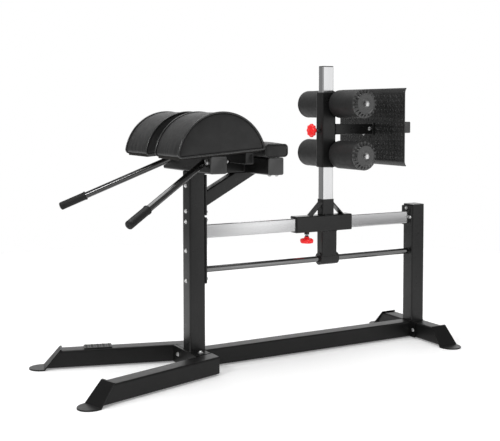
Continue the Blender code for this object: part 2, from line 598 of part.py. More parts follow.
# ---------------------------------------------------------------- sliding carriage
def build_carriage(slide):
    """Rail sleeve with its liner, post socket, guide hanger, chromed post and cap."""
    middle_z = RAIL_BOTTOM + RAIL_Z / 2
    front, rear = POST_X + SLEEVE_FRONT, POST_X + SLEEVE_REAR
    low = (front, -SLEEVE_Y / 2, middle_z - SLEEVE_Z / 2)
    high = (rear, SLEEVE_Y / 2, middle_z + SLEEVE_Z / 2)
    origin = parent_place(slide)
    sleeve_tube = box_tube(low, high, 0, SLEEVE_WALL, SLEEVE_CORNER)
    sleeve = make_object("carriage_sleeve", sleeve_tube, "black_coat", origin, slide)
    boss_top = low[2] + SLEEVE_WALL / 2
    boss = turned([(0, PIN_BOSS_RADIUS), (PIN_BOSS + SLEEVE_WALL / 2, PIN_BOSS_RADIUS)],
                  (CARRIAGE_PIN_X, 0, boss_top), -Z_AXIS, X_AXIS, steps=6)
    combine(sleeve, make_object("pin_boss", boss, "black_coat", origin, slide), "UNION")

    play = SLIDE_CLEARANCE
    liner_low = (front - LINER_PROUD, low[1] + SLEEVE_WALL + GAP, low[2] + SLEEVE_WALL + GAP)
    liner_high = (rear + LINER_PROUD, high[1] - SLEEVE_WALL - GAP, high[2] - SLEEVE_WALL - GAP)
    outer = rounded_rectangle(liner_high[1] - liner_low[1], liner_high[2] - liner_low[2], LINER_CORNER)
    inner = rounded_rectangle(RAIL_Y + 2 * play, RAIL_Z + 2 * play, LINER_BORE_CORNER)
    centre = Vector((POST_X, 0, middle_z))
    liner = tube(centre, X_AXIS, Y_AXIS, outer, inner, (liner_low, X_AXIS), (liner_high, X_AXIS))
    liner = make_object("carriage_liner", liner, "black_plastic", origin, slide)
    for piece in (sleeve, liner):
        hole = turned(PIN_HOLE_RINGS, (CARRIAGE_PIN_X, 0, RAIL_BOTTOM), Z_AXIS, X_AXIS, steps=PIN_HOLE_STEPS)
        combine(piece, make_object("pin_hole", hole, "black_coat", origin, slide), "DIFFERENCE")

    socket_x = POST_LONG / 2 + GAP + SOCKET_WALL
    socket_y = POST_SHORT / 2 + GAP + SOCKET_WALL
    socket_low = (POST_X - socket_x, -socket_y, high[2] + GAP)
    socket_high = (POST_X + socket_x, socket_y, SOCKET_TOP)
    socket_tube = box_tube(socket_low, socket_high, 2, SOCKET_WALL, SOCKET_CORNER)
    socket = make_object("post_socket", socket_tube, "black_coat", origin, slide)
    for side in (-1, 1):
        face = socket_high[0] - POST_X - SOCKET_WALL / 2
        foot_z = socket_low[2]
        lean = GUSSET_REACH / (GUSSET_TOP - foot_z)
        thick = GUSSET_THICK * math.sqrt(1 + lean ** 2)
        profile = [(face, GUSSET_TOP), (face + GUSSET_REACH, foot_z), (face + GUSSET_REACH - thick, foot_z),
                   (face, GUSSET_TOP - thick / lean)]
        strip = [[Vector((POST_X + side * along, y, z)) for along, z in profile]
                 for y in (-GUSSET_WIDTH / 2, GUSSET_WIDTH / 2)]
        combine(socket, make_object("gusset", solid(strip), "black_coat", origin, slide), "UNION")

    post_low = (POST_X - POST_LONG / 2, -POST_SHORT / 2, high[2] + GAP)
    post_high = (POST_X + POST_LONG / 2, POST_SHORT / 2, POST_TOP - CAP)
    make_object("post", box_tube(post_low, post_high, 2, WALL, SLIM_CORNER), "chrome", origin, slide)
    cap = end_cap(POST_LONG, POST_SHORT, WALL, SLIM_CORNER, (POST_X, 0, POST_TOP - CAP), Z_AXIS, X_AXIS)
    make_object("post_cap", cap, "black_plastic", origin, slide)

    # drop tube and round bush sleeve under the rail sleeve
    hanger_low = (POST_X + HANGER_FRONT, -HANGER_Y / 2, GUIDE_Z + HANGER_START)
    hanger_high = (POST_X + HANGER_REAR, HANGER_Y / 2, low[2] - GAP)
    hanger_tube = box_tube(hanger_low, hanger_high, 2, SLEEVE_WALL, SLEEVE_CORNER)
    hanger = make_object("guide_hanger", hanger_tube, "black_coat", origin, slide)
    length = BUSH_REAR - BUSH_FRONT
    start = (POST_X + BUSH_FRONT, 0, GUIDE_Z)
    barrel = turned([(0, BUSH_SLEEVE_RADIUS), (length, BUSH_SLEEVE_RADIUS)], start, X_AXIS, Y_AXIS)
    combine(hanger, make_object("bush_sleeve", barrel, "black_coat", origin, slide), "UNION")
    past = BUSH_BORE_RADIUS
    bore = turned([(-past, BUSH_BORE_RADIUS), (length + past, BUSH_BORE_RADIUS)], start, X_AXIS, Y_AXIS)
    combine(hanger, make_object("bush_bore", bore, "black_coat", origin, slide), "DIFFERENCE")
    bush_radius = BUSH_BORE_RADIUS - GAP
    bush_wall = bush_radius - GUIDE_RADIUS - play
    bush_start = (start[0] - LINER_PROUD, 0, GUIDE_Z)
    bush = pipe(bush_radius, bush_wall, bush_start, X_AXIS, Y_AXIS, length + 2 * LINER_PROUD)
    make_object("guide_bush", bush, "black_plastic", origin, slide, smooth=True)


# ---------------------------------------------------------------- roller carriage
def build_roller_carriage(lift):
    """Sleeve on the post with its liner, axles, arm, foot plate and the tube behind it."""
    origin = parent_place(lift)
    half_x, half_y = ROLLER_SLEEVE_X / 2, ROLLER_SLEEVE_Y / 2
    low = (POST_X - half_x, -half_y, ROLLER_SLEEVE_BOTTOM)
    high = (POST_X + half_x, half_y, ROLLER_SLEEVE_TOP)
    sleeve_tube = box_tube(low, high, 2, ROLLER_SLEEVE_WALL, SLEEVE_CORNER)
    sleeve = make_object("roller_sleeve", sleeve_tube, "black_coat", origin, lift)
    face_x = low[0] + ROLLER_SLEEVE_WALL / 2
    boss = turned([(0, PIN_BOSS_RADIUS), (PIN_BOSS + ROLLER_SLEEVE_WALL / 2, PIN_BOSS_RADIUS)],
                  (face_x, 0, ROLLER_PIN_Z), -X_AXIS, Z_AXIS, steps=6)
    combine(sleeve, make_object("pin_boss", boss, "black_coat", origin, lift), "UNION")

    outer = rounded_rectangle(ROLLER_SLEEVE_X - 2 * (ROLLER_SLEEVE_WALL + GAP),
                              ROLLER_SLEEVE_Y - 2 * (ROLLER_SLEEVE_WALL + GAP), LINER_CORNER)
    inner = rounded_rectangle(POST_LONG + 2 * SLIDE_CLEARANCE, POST_SHORT + 2 * SLIDE_CLEARANCE,
                              LINER_BORE_CORNER)
    ends = [(Vector((0, 0, z)), Z_AXIS)
            for z in (ROLLER_SLEEVE_BOTTOM - LINER_PROUD, ROLLER_SLEEVE_TOP + LINER_PROUD)]
    liner = tube(Vector((POST_X, 0, ROLLER_PIN_Z)), Z_AXIS, X_AXIS, outer, inner, *ends)
    liner = make_object("roller_liner", liner, "black_plastic", origin, lift)
    for piece in (sleeve, liner):
        hole = turned(PIN_HOLE_RINGS, (POST_X - POST_LONG / 2, 0, ROLLER_PIN_Z), X_AXIS, Z_AXIS,
                      steps=PIN_HOLE_STEPS)
        combine(piece, make_object("pin_hole", hole, "black_coat", origin, lift), "DIFFERENCE")

    for name, z in ROLLER_HEIGHTS.items():
        block_low = (high[0] + GAP, -AXLE_BLOCK, z - AXLE_BLOCK)
        block = bar(block_low, (ROLLER_X, AXLE_BLOCK, z + AXLE_BLOCK), 0, AXLE_BLOCK_CORNER)
        axle = make_object("roller_axle_" + name, block, "chrome", origin, lift)
        rod = turned(axle_rings(), (ROLLER_X, 0, z), Y_AXIS, Z_AXIS)
        combine(axle, make_object("axle_rod", rod, "chrome", origin, lift), "UNION")

    arm_low = (high[0] + GAP, -ARM / 2, ARM_Z - ARM / 2)
    arm_high = (PLATE_X - GAP - ARM_FLANGE / 2, ARM / 2, ARM_Z + ARM / 2)
    arm_tube = box_tube(arm_low, arm_high, 0, WALL, SLIM_CORNER)
    arm = make_object("foot_arm", arm_tube, "black_coat", origin, lift)
    flange = bar((PLATE_X - GAP - ARM_FLANGE, -ARM_FLANGE_HALF, ARM_Z - ARM_FLANGE_HALF),
                 (PLATE_X - GAP, ARM_FLANGE_HALF, ARM_Z + ARM_FLANGE_HALF), 0, PLATE_CORNER)
    combine(arm, make_object("arm_flange", flange, "black_coat", origin, lift), "UNION")

    make_object("foot_plate", foot_plate(), "black_coat", origin, lift)
    tube_front = PLATE_X + PLATE_THICK + GAP
    tube_low = (tube_front, -FOOT_TUBE_HALF, FOOT_TUBE_MIDDLE_Z - FOOT_TUBE_Z / 2)
    tube_high = (tube_front + FOOT_TUBE_X, FOOT_TUBE_HALF, FOOT_TUBE_MIDDLE_Z + FOOT_TUBE_Z / 2)
    crosstube = box_tube(tube_low, tube_high, 1, WALL, SLIM_CORNER)
    make_object("foot_crosstube", crosstube, "black_coat", origin, lift)


def axle_rings():
    """Axle profile from end to end: bolt head, washer, rod, washer and bolt head."""
    face = ROLLER_OUTER + GAP + HUB_RIM + HUB_DISH + GAP
    half = [(face, AXLE_RADIUS), (face, AXLE_WASHER_RADIUS), (face + AXLE_WASHER, AXLE_WASHER_RADIUS),
            (face + AXLE_WASHER, AXLE_HEAD_RADIUS), (face + AXLE_WASHER + AXLE_HEAD, AXLE_HEAD_RADIUS)]
    return [(-distance, radius) for distance, radius in reversed(half)] + half


def foot_plate():
    """Tread plate whose top and bottom edges curve back, away from the feet."""
    front, back = [], []
    for end, z in ((-1, PLATE_FLAT_BOTTOM), (1, PLATE_FLAT_TOP)):
        bend = [step / PLATE_BEND_STEPS * PLATE_BEND for step in range(PLATE_BEND_STEPS + 1)]
        if end < 0:
            bend.reverse()
        centre_x = PLATE_X + PLATE_THICK + PLATE_BEND_RADIUS
        for turn in bend:
            for radius, row in ((PLATE_BEND_RADIUS + PLATE_THICK, front), (PLATE_BEND_RADIUS, back)):
                row.append((centre_x - radius * math.cos(turn), z + end * radius * math.sin(turn)))
    profile = front + back[::-1]
    return solid([[Vector((x, side * PLATE_HALF_WIDTH, z)) for x, z in profile] for side in (-1, 1)])


def build_rollers(lift):
    """Four foam rollers, each on a plastic hub that turns on its axle."""
    for level, z in ROLLER_HEIGHTS.items():
        for side_name, side in SIDES.items():
            axis = joint_empty(f"roller_{level}_{side_name}_axis", (ROLLER_X, 0, z), lift)
            origin = parent_place(axis)
            out = Y_AXIS * side
            name = f"{level}_{side_name}"
            bore = HUB_TUBE_RADIUS + GAP
            foam_rings = [(ROLLER_INNER, bore), (ROLLER_INNER, ROLLER_RADIUS - FOAM_EDGE),
                          (ROLLER_INNER + FOAM_EDGE, ROLLER_RADIUS), (ROLLER_OUTER, ROLLER_RADIUS),
                          (ROLLER_OUTER, bore)]
            foam = turned(foam_rings, origin, out, Z_AXIS, True, BIG_ROUND_STEPS)
            make_object("foam_roller_" + name, foam, "black_foam", origin, axis, smooth=True)
            bore = AXLE_RADIUS + SLIDE_CLEARANCE
            cap_start = ROLLER_OUTER + GAP
            rim_end = cap_start + HUB_RIM
            face = rim_end + HUB_DISH
            hub_rings = [(HUB_INNER, bore), (HUB_INNER, HUB_TUBE_RADIUS), (cap_start, HUB_TUBE_RADIUS),
                         (cap_start, HUB_CAP_RADIUS), (rim_end, HUB_CAP_RADIUS),
                         (face, HUB_FACE_RADIUS), (face, bore)]
            hub = turned(hub_rings, origin, out, Z_AXIS, True, BIG_ROUND_STEPS)
            make_object("roller_hub_" + name, hub, "black_plastic", origin, axis, smooth=True)


# ---------------------------------------------------------------- spring pins
def pin_solid(tip, direction, length):
    """Pull pin: a plunger from its tip to a lobed knob; the direction is the way it is pulled."""
    along = Vector(direction).normalized()
    across = Y_AXIS
    steps = KNOB_LOBES * 4

    def ring(distance, radius, lobe=0.0):
        place = Vector(tip) + along * distance
        flat = []
        for step in range(steps):
            angle = 2 * math.pi * step / steps
            reach = radius + lobe * math.cos(KNOB_LOBES * angle)
            flat.append((reach * math.cos(angle), reach * math.sin(angle)))
        return run(flat, place, along, across, place, along)

    flare = length + KNOB_FLARE
    far = length + KNOB_HEIGHT
    small = KNOB_RADIUS - KNOB_EDGE
    loops = [ring(0, PIN_RADIUS), ring(length, PIN_RADIUS), ring(length, KNOB_NECK_RADIUS),
             ring(length + KNOB_NECK, KNOB_NECK_RADIUS), ring(flare, small, KNOB_LOBE),
             ring(flare + KNOB_EDGE, KNOB_RADIUS, KNOB_LOBE), ring(far - KNOB_EDGE, KNOB_RADIUS, KNOB_LOBE),
             ring(far, small, KNOB_LOBE / 2)]
    return solid(loops)


def build_pins(slide, lift):
    """The pull pins that lock the carriage on the rail and the rollers on the post."""
    tip = Vector((CARRIAGE_PIN_X, 0, RAIL_BOTTOM - PIN_SHORT))
    pull = joint_empty("carriage_pin_axis", tip, slide)
    sleeve_bottom = RAIL_BOTTOM + RAIL_Z / 2 - SLEEVE_Z / 2
    length = tip.z - (sleeve_bottom - PIN_BOSS - PIN_GAP)
    make_object("carriage_pin", pin_solid(tip, -Z_AXIS, length), "red_plastic", tip, pull, smooth=True)

    tip = Vector((POST_X - POST_LONG / 2 - PIN_SHORT, 0, ROLLER_PIN_Z))
    pull = joint_empty("roller_pin_axis", tip, lift)
    length = tip.x - (POST_X - ROLLER_SLEEVE_X / 2 - PIN_BOSS - PIN_GAP)
    make_object("roller_pin", pin_solid(tip, -X_AXIS, length), "red_plastic", tip, pull, smooth=True)


# ---------------------------------------------------------------- assembly
def main():
    for old in list(bpy.data.objects):
        bpy.data.objects.remove(old, do_unlink=True)
    build_base()
    build_uprights()
    build_pad_frame()
    build_pads()
    build_handles()
    slide = joint_empty("carriage_slide_axis", (POST_X, 0, RAIL_BOTTOM + RAIL_Z / 2))
    build_carriage(slide)
    lift = joint_empty("roller_lift_axis", (POST_X, 0, ROLLER_PIN_Z), slide)
    build_roller_carriage(lift)
    build_rollers(lift)
    build_pins(slide, lift)
    centre = footprint_centre_x()
    for made in bpy.data.objects:
        if made.parent is None:
            made.location.x -= centre
    bpy.context.view_layer.update()


main()
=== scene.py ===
import json
import math

import bmesh
import bpy
from mathutils import Matrix, Vector, noise


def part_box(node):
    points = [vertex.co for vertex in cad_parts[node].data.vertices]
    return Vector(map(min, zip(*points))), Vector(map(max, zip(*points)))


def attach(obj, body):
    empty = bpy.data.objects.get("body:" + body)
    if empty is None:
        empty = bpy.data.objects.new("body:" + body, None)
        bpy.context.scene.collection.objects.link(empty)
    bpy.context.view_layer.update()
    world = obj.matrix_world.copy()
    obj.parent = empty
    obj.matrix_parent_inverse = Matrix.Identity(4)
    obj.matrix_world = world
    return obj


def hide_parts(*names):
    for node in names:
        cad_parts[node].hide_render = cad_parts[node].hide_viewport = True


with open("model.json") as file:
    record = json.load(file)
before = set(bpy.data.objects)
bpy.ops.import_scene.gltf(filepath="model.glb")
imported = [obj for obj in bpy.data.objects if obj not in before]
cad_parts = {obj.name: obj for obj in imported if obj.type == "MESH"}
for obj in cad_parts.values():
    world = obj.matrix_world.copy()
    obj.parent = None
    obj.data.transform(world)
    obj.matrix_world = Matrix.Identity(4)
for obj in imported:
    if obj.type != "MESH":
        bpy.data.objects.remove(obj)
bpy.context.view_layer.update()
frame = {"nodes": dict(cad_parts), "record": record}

X_AXIS, Y_AXIS, Z_AXIS = Vector((1, 0, 0)), Vector((0, 1, 0)), Vector((0, 0, 1))
SIDES = {"left": -1, "right": 1}
LEVELS = ("upper", "lower")
BODY_OF = {node: body for body, nodes in frame["record"]["behaviour"]["bodies"].items() for node in nodes}

# ---------------------------------------------------------------- camera and light
CAMERA_PLACE = (-2.0917, -3.7137, 1.1315)
CAMERA_PITCH, CAMERA_TURN = math.radians(87.0), math.radians(-29.593)
CAMERA_LENS = 68.14
CAMERA_SHIFT = (-0.0192, -0.1224)
ROOM_LIGHT = 0.27           # strength of the even studio light
BACKDROP_LIGHT = 1.0        # what the camera sees behind the object
FLOOR_RADIUS = 3.7
FLOOR_GLOW = 0.26
LAMPS = {                   # place, target, size across and up, power in watts
    "rear_panel": ((2.1, 3.8, 1.55), (0, 0, 0.5), (7.0, 2.6), 62.0),
    "top_panel": ((-0.2, 0.2, 3.8), (0, 0, 0.4), (4.0, 3.2), 120.0),
    "left_panel": ((-3.8, -0.6, 1.9), (0, 0, 0.7), (2.2, 2.0), 10.0),
    "key_panel": ((-3.2, -1.4, 2.4), (-0.2, 0, 0.9), (0.5, 0.6), 34.0),
    "front_card": ((2.1, -3.7, 0.30), (0, 0, 0.62), (0.55, 1.1), 2.4),
    "right_panel": ((2.2, -2.9, 1.35), (0.3, 0, 1.0), (2.8, 2.2), 17.0),
}

# ---------------------------------------------------------------- sizes (metres)
EDGE, CHROME_EDGE, FINE_EDGE = 0.0009, 0.0005, 0.0004   # broken edges: coated, chromed and small parts
BOARD_EDGE = 0.0010
SHARP = math.radians(40)    # steeper edges than this stay sharp in the shading
PAD_TILT = math.radians(4.4)
PAD_FRONT_ROUND, PAD_REAR_ROUND = 0.018, 0.010
PAD_END_ROUND = 0.008       # rounding between an end panel and the curved top
PAD_START = 0.0035          # how much smaller the pad starts before it is inflated
PAD_SWELL = 0.0065          # most that the cover moves
PIPING, PIPING_INSET = 0.0042, 0.0034
FOLD_DEPTH = 0.0016         # folds low on the pads
FOLD_START, FOLD_REACH = 0.008, 0.070   # height where they begin to fade, and how far up they do
FOLD_REAR = 0.45            # share of the folds on the rear half
VOXEL = 0.005               # face size for the cloth simulation
PRESSURE = 4.0
CLOTH_MASS, CLOTH_STIFFNESS, CLOTH_BENDING = 0.3, 12, 0.6
SIM_FRAMES = 20
HELD_BASE, HELD_RIM = 0.004, 0.013      # strips of a pad's cover that the simulation holds
END_STEPS = 5               # sections that round a pad's end
CUSHION_START = 0.002
CUSHION_SWELL = 0.006
CUSHION_ROUND = 0.019
CUSHION_FOLD = 0.0009
CUSHION_SEAM = 0.0022
ROLLER_EDGE, ROLLER_BORE = 0.007, 0.0205
ROLLER_DENT = 0.0006
ROLLER_STEPS = 96
HUB_RIBS = 20
HUB_TUBE, HUB_BORE = 0.0198, 0.0132
KNOB_LOBES, KNOB_HEIGHT, KNOB_LOBE_DEPTH = 8, 0.030, 0.0030
GRIP_RADIUS, GRIP_COLLAR, GRIP_BORE = 0.0180, 0.0194, 0.0149
GRIP_RIB, GRIP_RIB_DEPTH, GRIP_END = 0.0045, 0.0005, 0.007
TUBE_SIDE, TUBE_CORNER = 0.075, 0.008   # main frame tube
POST_SECTION = (0.040, 0.060)
CROSSTUBE_SECTION = (0.040, 0.052)
SECTION_CORNER = 0.005
LOZENGE_PITCH, LOZENGE_LONG, LOZENGE_WIDE, LOZENGE_HIGH = 0.0220, 0.0110, 0.0042, 0.0016
PLATE_LIP, PLATE_SIDES = 0.030, 0.024   # bare strips round the marks of the foot plate
STUD_PITCH, STUD_LONG, STUD_WIDE, STUD_HIGH = 0.0125, 0.0060, 0.0024, 0.0010
LEG_SPLAY = math.radians(16.5)
UPRIGHT_NUT_HEIGHTS = (0.387, 0.519, 0.646, 0.692, 0.803)
ARM_HEIGHT, ARM_BOLT_HEIGHT = 1.040, 1.041  # of the foot plate's arm above the floor, at rest
WELD, WELD_RIPPLE, WELD_PITCH = 0.0024, 0.22, 0.0042
THIN_WELD = 0.0022
WELD_CORNER, WELD_STEPS = 0.006, 64

# sizes of bolt heads and nuts: about the radius of the hexagon's corners
UPRIGHT_NUT, RAIL_BOLT, HANDLE_BOLT, STUD_NUT = 0.0085, 0.0075, 0.0120, 0.0090
CUSHION_NUT, BRACE_BOLT, TIE_BOLT, TIE_NUT = 0.0080, 0.0070, 0.0085, 0.0100
FLANGE_BOLT, ARM_BOLT, ARM_NUT = 0.0080, 0.0085, 0.0060
STUD_RADIUS = 0.0050
AXLE_HEAD, AXLE_HEAD_TOP = 0.0124, 0.0100

# scales of the noise that varies tone and roughness in every finish
BROAD_SCALE, PATCH_SCALE = 14.0, 55.0


# ---------------------------------------------------------------- materials
def finish(name, tones, rough, grain, bump, metallic=0.0, stretch=(1, 1, 1), cells=False,
           specular=0.5, glow=0.0):
    """Procedural finish: broad tone changes, patchy roughness and a fine grain in the bump.

    tones and rough are the ends of a range, grain is the scale of the bump, and bump its strength and depth.
    """
    made = bpy.data.materials.new(name)
    made.use_nodes = True
    nodes, links = made.node_tree.nodes, made.node_tree.links
    shader = nodes["Principled BSDF"]
    shader.inputs["Metallic"].default_value = metallic
    shader.inputs["Specular IOR Level"].default_value = specular
    # glow makes the surface give off light in its lighter tone: an evenly bright floor, or painted light on a
    # part that is no lamp
    if glow:
        shader.inputs["Emission Color"].default_value = (*tones[1], 1)
        shader.inputs["Emission Strength"].default_value = glow
    place = nodes.new("ShaderNodeTexCoord")
    mapping = nodes.new("ShaderNodeMapping")
    mapping.inputs["Scale"].default_value = stretch
    links.new(place.outputs["Object"], mapping.inputs["Vector"])

    def noise_field(scale, detail):
        field = nodes.new("ShaderNodeTexNoise")
        field.inputs["Scale"].default_value = scale
        field.inputs["Detail"].default_value = detail
        links.new(mapping.outputs["Vector"], field.inputs["Vector"])
        return field

    broad = noise_field(BROAD_SCALE, 4.0)
    ramp = nodes.new("ShaderNodeValToRGB")
    ramp.color_ramp.elements[0].position = 0.35
    ramp.color_ramp.elements[1].position = 0.65
    ramp.color_ramp.elements[0].color = (*tones[0], 1)
    ramp.color_ramp.elements[1].color = (*tones[1], 1)
    links.new(broad.outputs["Fac"], ramp.inputs["Fac"])
    links.new(ramp.outputs["Color"], shader.inputs["Base Color"])

    patches = noise_field(PATCH_SCALE, 3.0)
    spread = nodes.new("ShaderNodeMapRange")
    spread.inputs["From Min"].default_value = 0.3
    spread.inputs["From Max"].default_value = 0.7
    spread.inputs["To Min"].default_value = rough[0]
    spread.inputs["To Max"].default_value = rough[1]
    links.new(patches.outputs["Fac"], spread.inputs["Value"])
    links.new(spread.outputs["Result"], shader.inputs["Roughness"])

    if cells:
        fine = nodes.new("ShaderNodeTexVoronoi")
        fine.feature = "DISTANCE_TO_EDGE"
        fine.inputs["Scale"].default_value = grain
        links.new(mapping.outputs["Vector"], fine.inputs["Vector"])
        height = fine.outputs["Distance"]
    else:
        height = noise_field(grain, 2.0).outputs["Fac"]
    relief = nodes.new("ShaderNodeBump")
    relief.inputs["Strength"].default_value = bump[0]
    relief.inputs["Distance"].default_value = bump[1]
    links.new(height, relief.inputs["Height"])
    links.new(relief.outputs["Normal"], shader.inputs["Normal"])
    return made


def grey(value, blue=0.0):
    return (value, value, value + blue)


COAT = finish("black_powder_coat", (grey(0.007), grey(0.010)), (0.27, 0.32), 1500.0, (0.02, 0.0001),
              specular=0.36)
# darker, duller copy of the black powder coat for the base parts and tread: painted shade that offsets the
# light the floor throws up
SHADED_BASE_COAT = finish("base_powder_coat_painted_shade", (grey(0.004), grey(0.006)), (0.36, 0.42), 1500.0, (0.02, 0.0001),
                   specular=0.24)
HANDLE_COAT = finish("handle_coat", (grey(0.006), grey(0.009)), (0.16, 0.21), 1500.0, (0.06, 0.0001),
                     specular=1.0)
PLATE_COAT = finish("plate_powder_coat", (grey(0.016), grey(0.024)), (0.24, 0.32), 1300.0, (0.05, 0.0001))
CHROME_X = finish("chrome_along_x", (grey(0.46, 0.004), grey(0.54, 0.006)), (0.15, 0.21), 600.0,
                  (0.03, 0.0001), metallic=1.0, stretch=(0.04, 1, 1))
CHROME_Z = finish("chrome_along_z", (grey(0.66, 0.005), grey(0.74, 0.008)), (0.09, 0.15), 600.0,
                  (0.03, 0.0001), metallic=1.0, stretch=(1, 1, 0.04))
STEEL = finish("zinc_steel", (grey(0.66), grey(0.78)), (0.30, 0.40), 900.0, (0.06, 0.0001), metallic=1.0)
GUIDE_STEEL = finish("dark_chrome", (grey(0.15), grey(0.21)), (0.11, 0.17), 700.0, (0.03, 0.0001),
                     metallic=1.0, stretch=(0.04, 1, 1))
LEATHER = finish("black_leather", (grey(0.013), grey(0.020)), (0.40, 0.50), 620.0, (0.22, 0.0004),
                 cells=True, specular=0.36)
# lighter, glossier copy of the black leather for the piping and seams: its lighter tone is painted highlight
# along their rounded edges
LIT_PIPING_LEATHER = finish("piping_leather_painted_highlight", (grey(0.022), grey(0.032)), (0.20, 0.27), 800.0, (0.15, 0.0002),
                        cells=True)
FOAM = finish("roller_foam", (grey(0.010), grey(0.015)), (0.52, 0.64), 900.0, (0.35, 0.0005), specular=0.40)
PLASTIC = finish("black_plastic", (grey(0.016), grey(0.022)), (0.30, 0.38), 1100.0, (0.15, 0.0002))
# lighter, glossier copy of the black plastic for the roller caps: its lighter tone is painted light on the
# ribs
LIT_HUB_PLASTIC = finish("hub_plastic_painted_light", (grey(0.020), grey(0.030)), (0.22, 0.30), 1100.0, (0.10, 0.0002),
                     specular=0.8)
CAP_PLASTIC = finish("cap_plastic", (grey(0.060), grey(0.076)), (0.40, 0.50), 1100.0, (0.18, 0.0002))
RUBBER = finish("grip_rubber", (grey(0.010), grey(0.015)), (0.48, 0.60), 1000.0, (0.20, 0.0002),
                specular=0.25)
# the red plastic glows faintly: painted light that makes the knobs brighter than the lamps alone do
GLOWING_RED = finish("red_plastic", ((0.86, 0.012, 0.014), (0.95, 0.018, 0.020)), (0.24, 0.32), 700.0,
             (0.05, 0.0001), glow=0.18)
BOARD = finish("stained_plywood", ((0.007, 0.006, 0.005), (0.012, 0.010, 0.008)), (0.60, 0.75), 260.0,
               (0.30, 0.0004), stretch=(0.15, 1, 1), specular=0.30)


# ---------------------------------------------------------------- mesh building
def basis(direction):
    """Axis directions along, sideways and upwards for a piece that points one way."""
    along = Vector(direction).normalized()
    helper = Z_AXIS if abs(along.z) < 0.9 else X_AXIS
    side = along.cross(helper).normalized()
    return along, side, side.cross(along)


def add_loft(data, loops, ring=False):
    """Skin over equal point loops, with capped ends unless it closes into a ring."""
    rows = [[data.verts.new(point) for point in loop] for loop in loops]
    count = len(rows[0])
    for index in range(len(rows) if ring else len(rows) - 1):
        near, far = rows[index], rows[(index + 1) % len(rows)]
        for step in range(count):
            after = (step + 1) % count
            data.faces.new((near[step], near[after], far[after], far[step]))
    if not ring:
        data.faces.new(rows[0])
        data.faces.new(rows[-1])


def add_turned(data, profile, place, direction, steps=32, ring=False, wave=None):
    """Turned body from (distance, radius) points; wave(index, angle) changes a ring's radius."""
    along, side, up = basis(direction)
    loops = []
    for index, (distance, radius) in enumerate(profile):
        loop = []
        for step in range(steps):
            angle = 2 * math.pi * step / steps
            reach = radius + (wave(index, angle) if wave else 0.0)
            loop.append(Vector(place) + along * distance + side * reach * math.cos(angle)
                        + up * reach * math.sin(angle))
        loops.append(loop)
    add_loft(data, loops, ring)


def add_tube(data, path, radius, sides=8, ripple=0.0, pitch=0.004):
    """Round bead along a closed path; ripple makes the overlapping scales of a weld."""
    count = len(path)
    middle = sum(path, Vector()) / count
    travelled, loops = 0.0, []
    for index in range(count):
        point = path[index]
        ahead = (path[(index + 1) % count] - path[index - 1]).normalized()
        outward = point - middle
        outward = (outward - ahead * outward.dot(ahead)).normalized()
        third = ahead.cross(outward)
        swell = radius * (1 + ripple * math.sin(2 * math.pi * travelled / pitch))
        loops.append([point + outward * swell * math.cos(2 * math.pi * step / sides)
                      + third * swell * math.sin(2 * math.pi * step / sides) for step in range(sides)])
        travelled += (path[(index + 1) % count] - point).length
    add_loft(data, loops, ring=True)


def rounded_rectangle(width, height, radius, steps=6):
    """Corner points of a rounded rectangle centred on (0, 0)."""
    points = []
    for corner, (across, above) in enumerate(((1, 1), (-1, 1), (-1, -1), (1, -1))):
        for step in range(steps + 1):
            angle = (corner + step / steps) * math.pi / 2
            points.append((across * (width / 2 - radius) + radius * math.cos(angle),
                           above * (height / 2 - radius) + radius * math.sin(angle)))
    return points


def resampled(points, pitch):
    """Closed path with a point about every pitch."""
    path = []
    for index, point in enumerate(points):
        after = points[(index + 1) % len(points)]
        parts = max(1, round((after - point).length / pitch))
        path += [point.lerp(after, part / parts) for part in range(parts)]
    return path


def make_piece(name, data, material, body, smooth=SHARP):
    """Wraps a bmesh as a piece that rides on a body and takes its finish from a material slot."""
    bmesh.ops.recalc_face_normals(data, faces=data.faces[:])
    mesh = bpy.data.meshes.new(name)
    data.to_mesh(mesh)
    data.free()
    mesh.shade_smooth()
    mesh.set_sharp_from_angle(angle=smooth)
    mesh.materials.append(material)
    piece = bpy.data.objects.new(name, mesh)
    bpy.context.scene.collection.objects.link(piece)
    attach(piece, body)
    return piece


def modified(piece):
    """Applies a piece's modifiers to its mesh."""
    graph = bpy.context.evaluated_depsgraph_get()
    mesh = bpy.data.meshes.new_from_object(piece.evaluated_get(graph))
    piece.modifiers.clear()
    piece.data = mesh
    return mesh


def refined(node, material, edge=EDGE):
    """Finer copy of a hard part: one surface with smooth corners and broken edges."""
    data = bmesh.new()
    data.from_mesh(frame["nodes"][node].data)
    bmesh.ops.remove_doubles(data, verts=data.verts[:], dist=1e-5)
    bmesh.ops.dissolve_limit(data, angle_limit=math.radians(0.6), verts=data.verts[:], edges=data.edges[:])
    piece = make_piece("fine_" + node, data, material, BODY_OF[node], math.radians(180))
    if edge:
        bevel = piece.modifiers.new("broken_edges", "BEVEL")
        bevel.limit_method = "ANGLE"
        bevel.angle_limit = math.radians(42)
        bevel.width = edge
        bevel.segments = 2
    weighted = piece.modifiers.new("even_shading", "WEIGHTED_NORMAL")
    weighted.keep_sharp = True
    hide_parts(node)
    return piece


def centre_of(node):
    """Mean of a part's corner points, which lies on the axis of a round part."""
    points = [vertex.co for vertex in frame["nodes"][node].data.vertices]
    return sum(points, Vector()) / len(points)


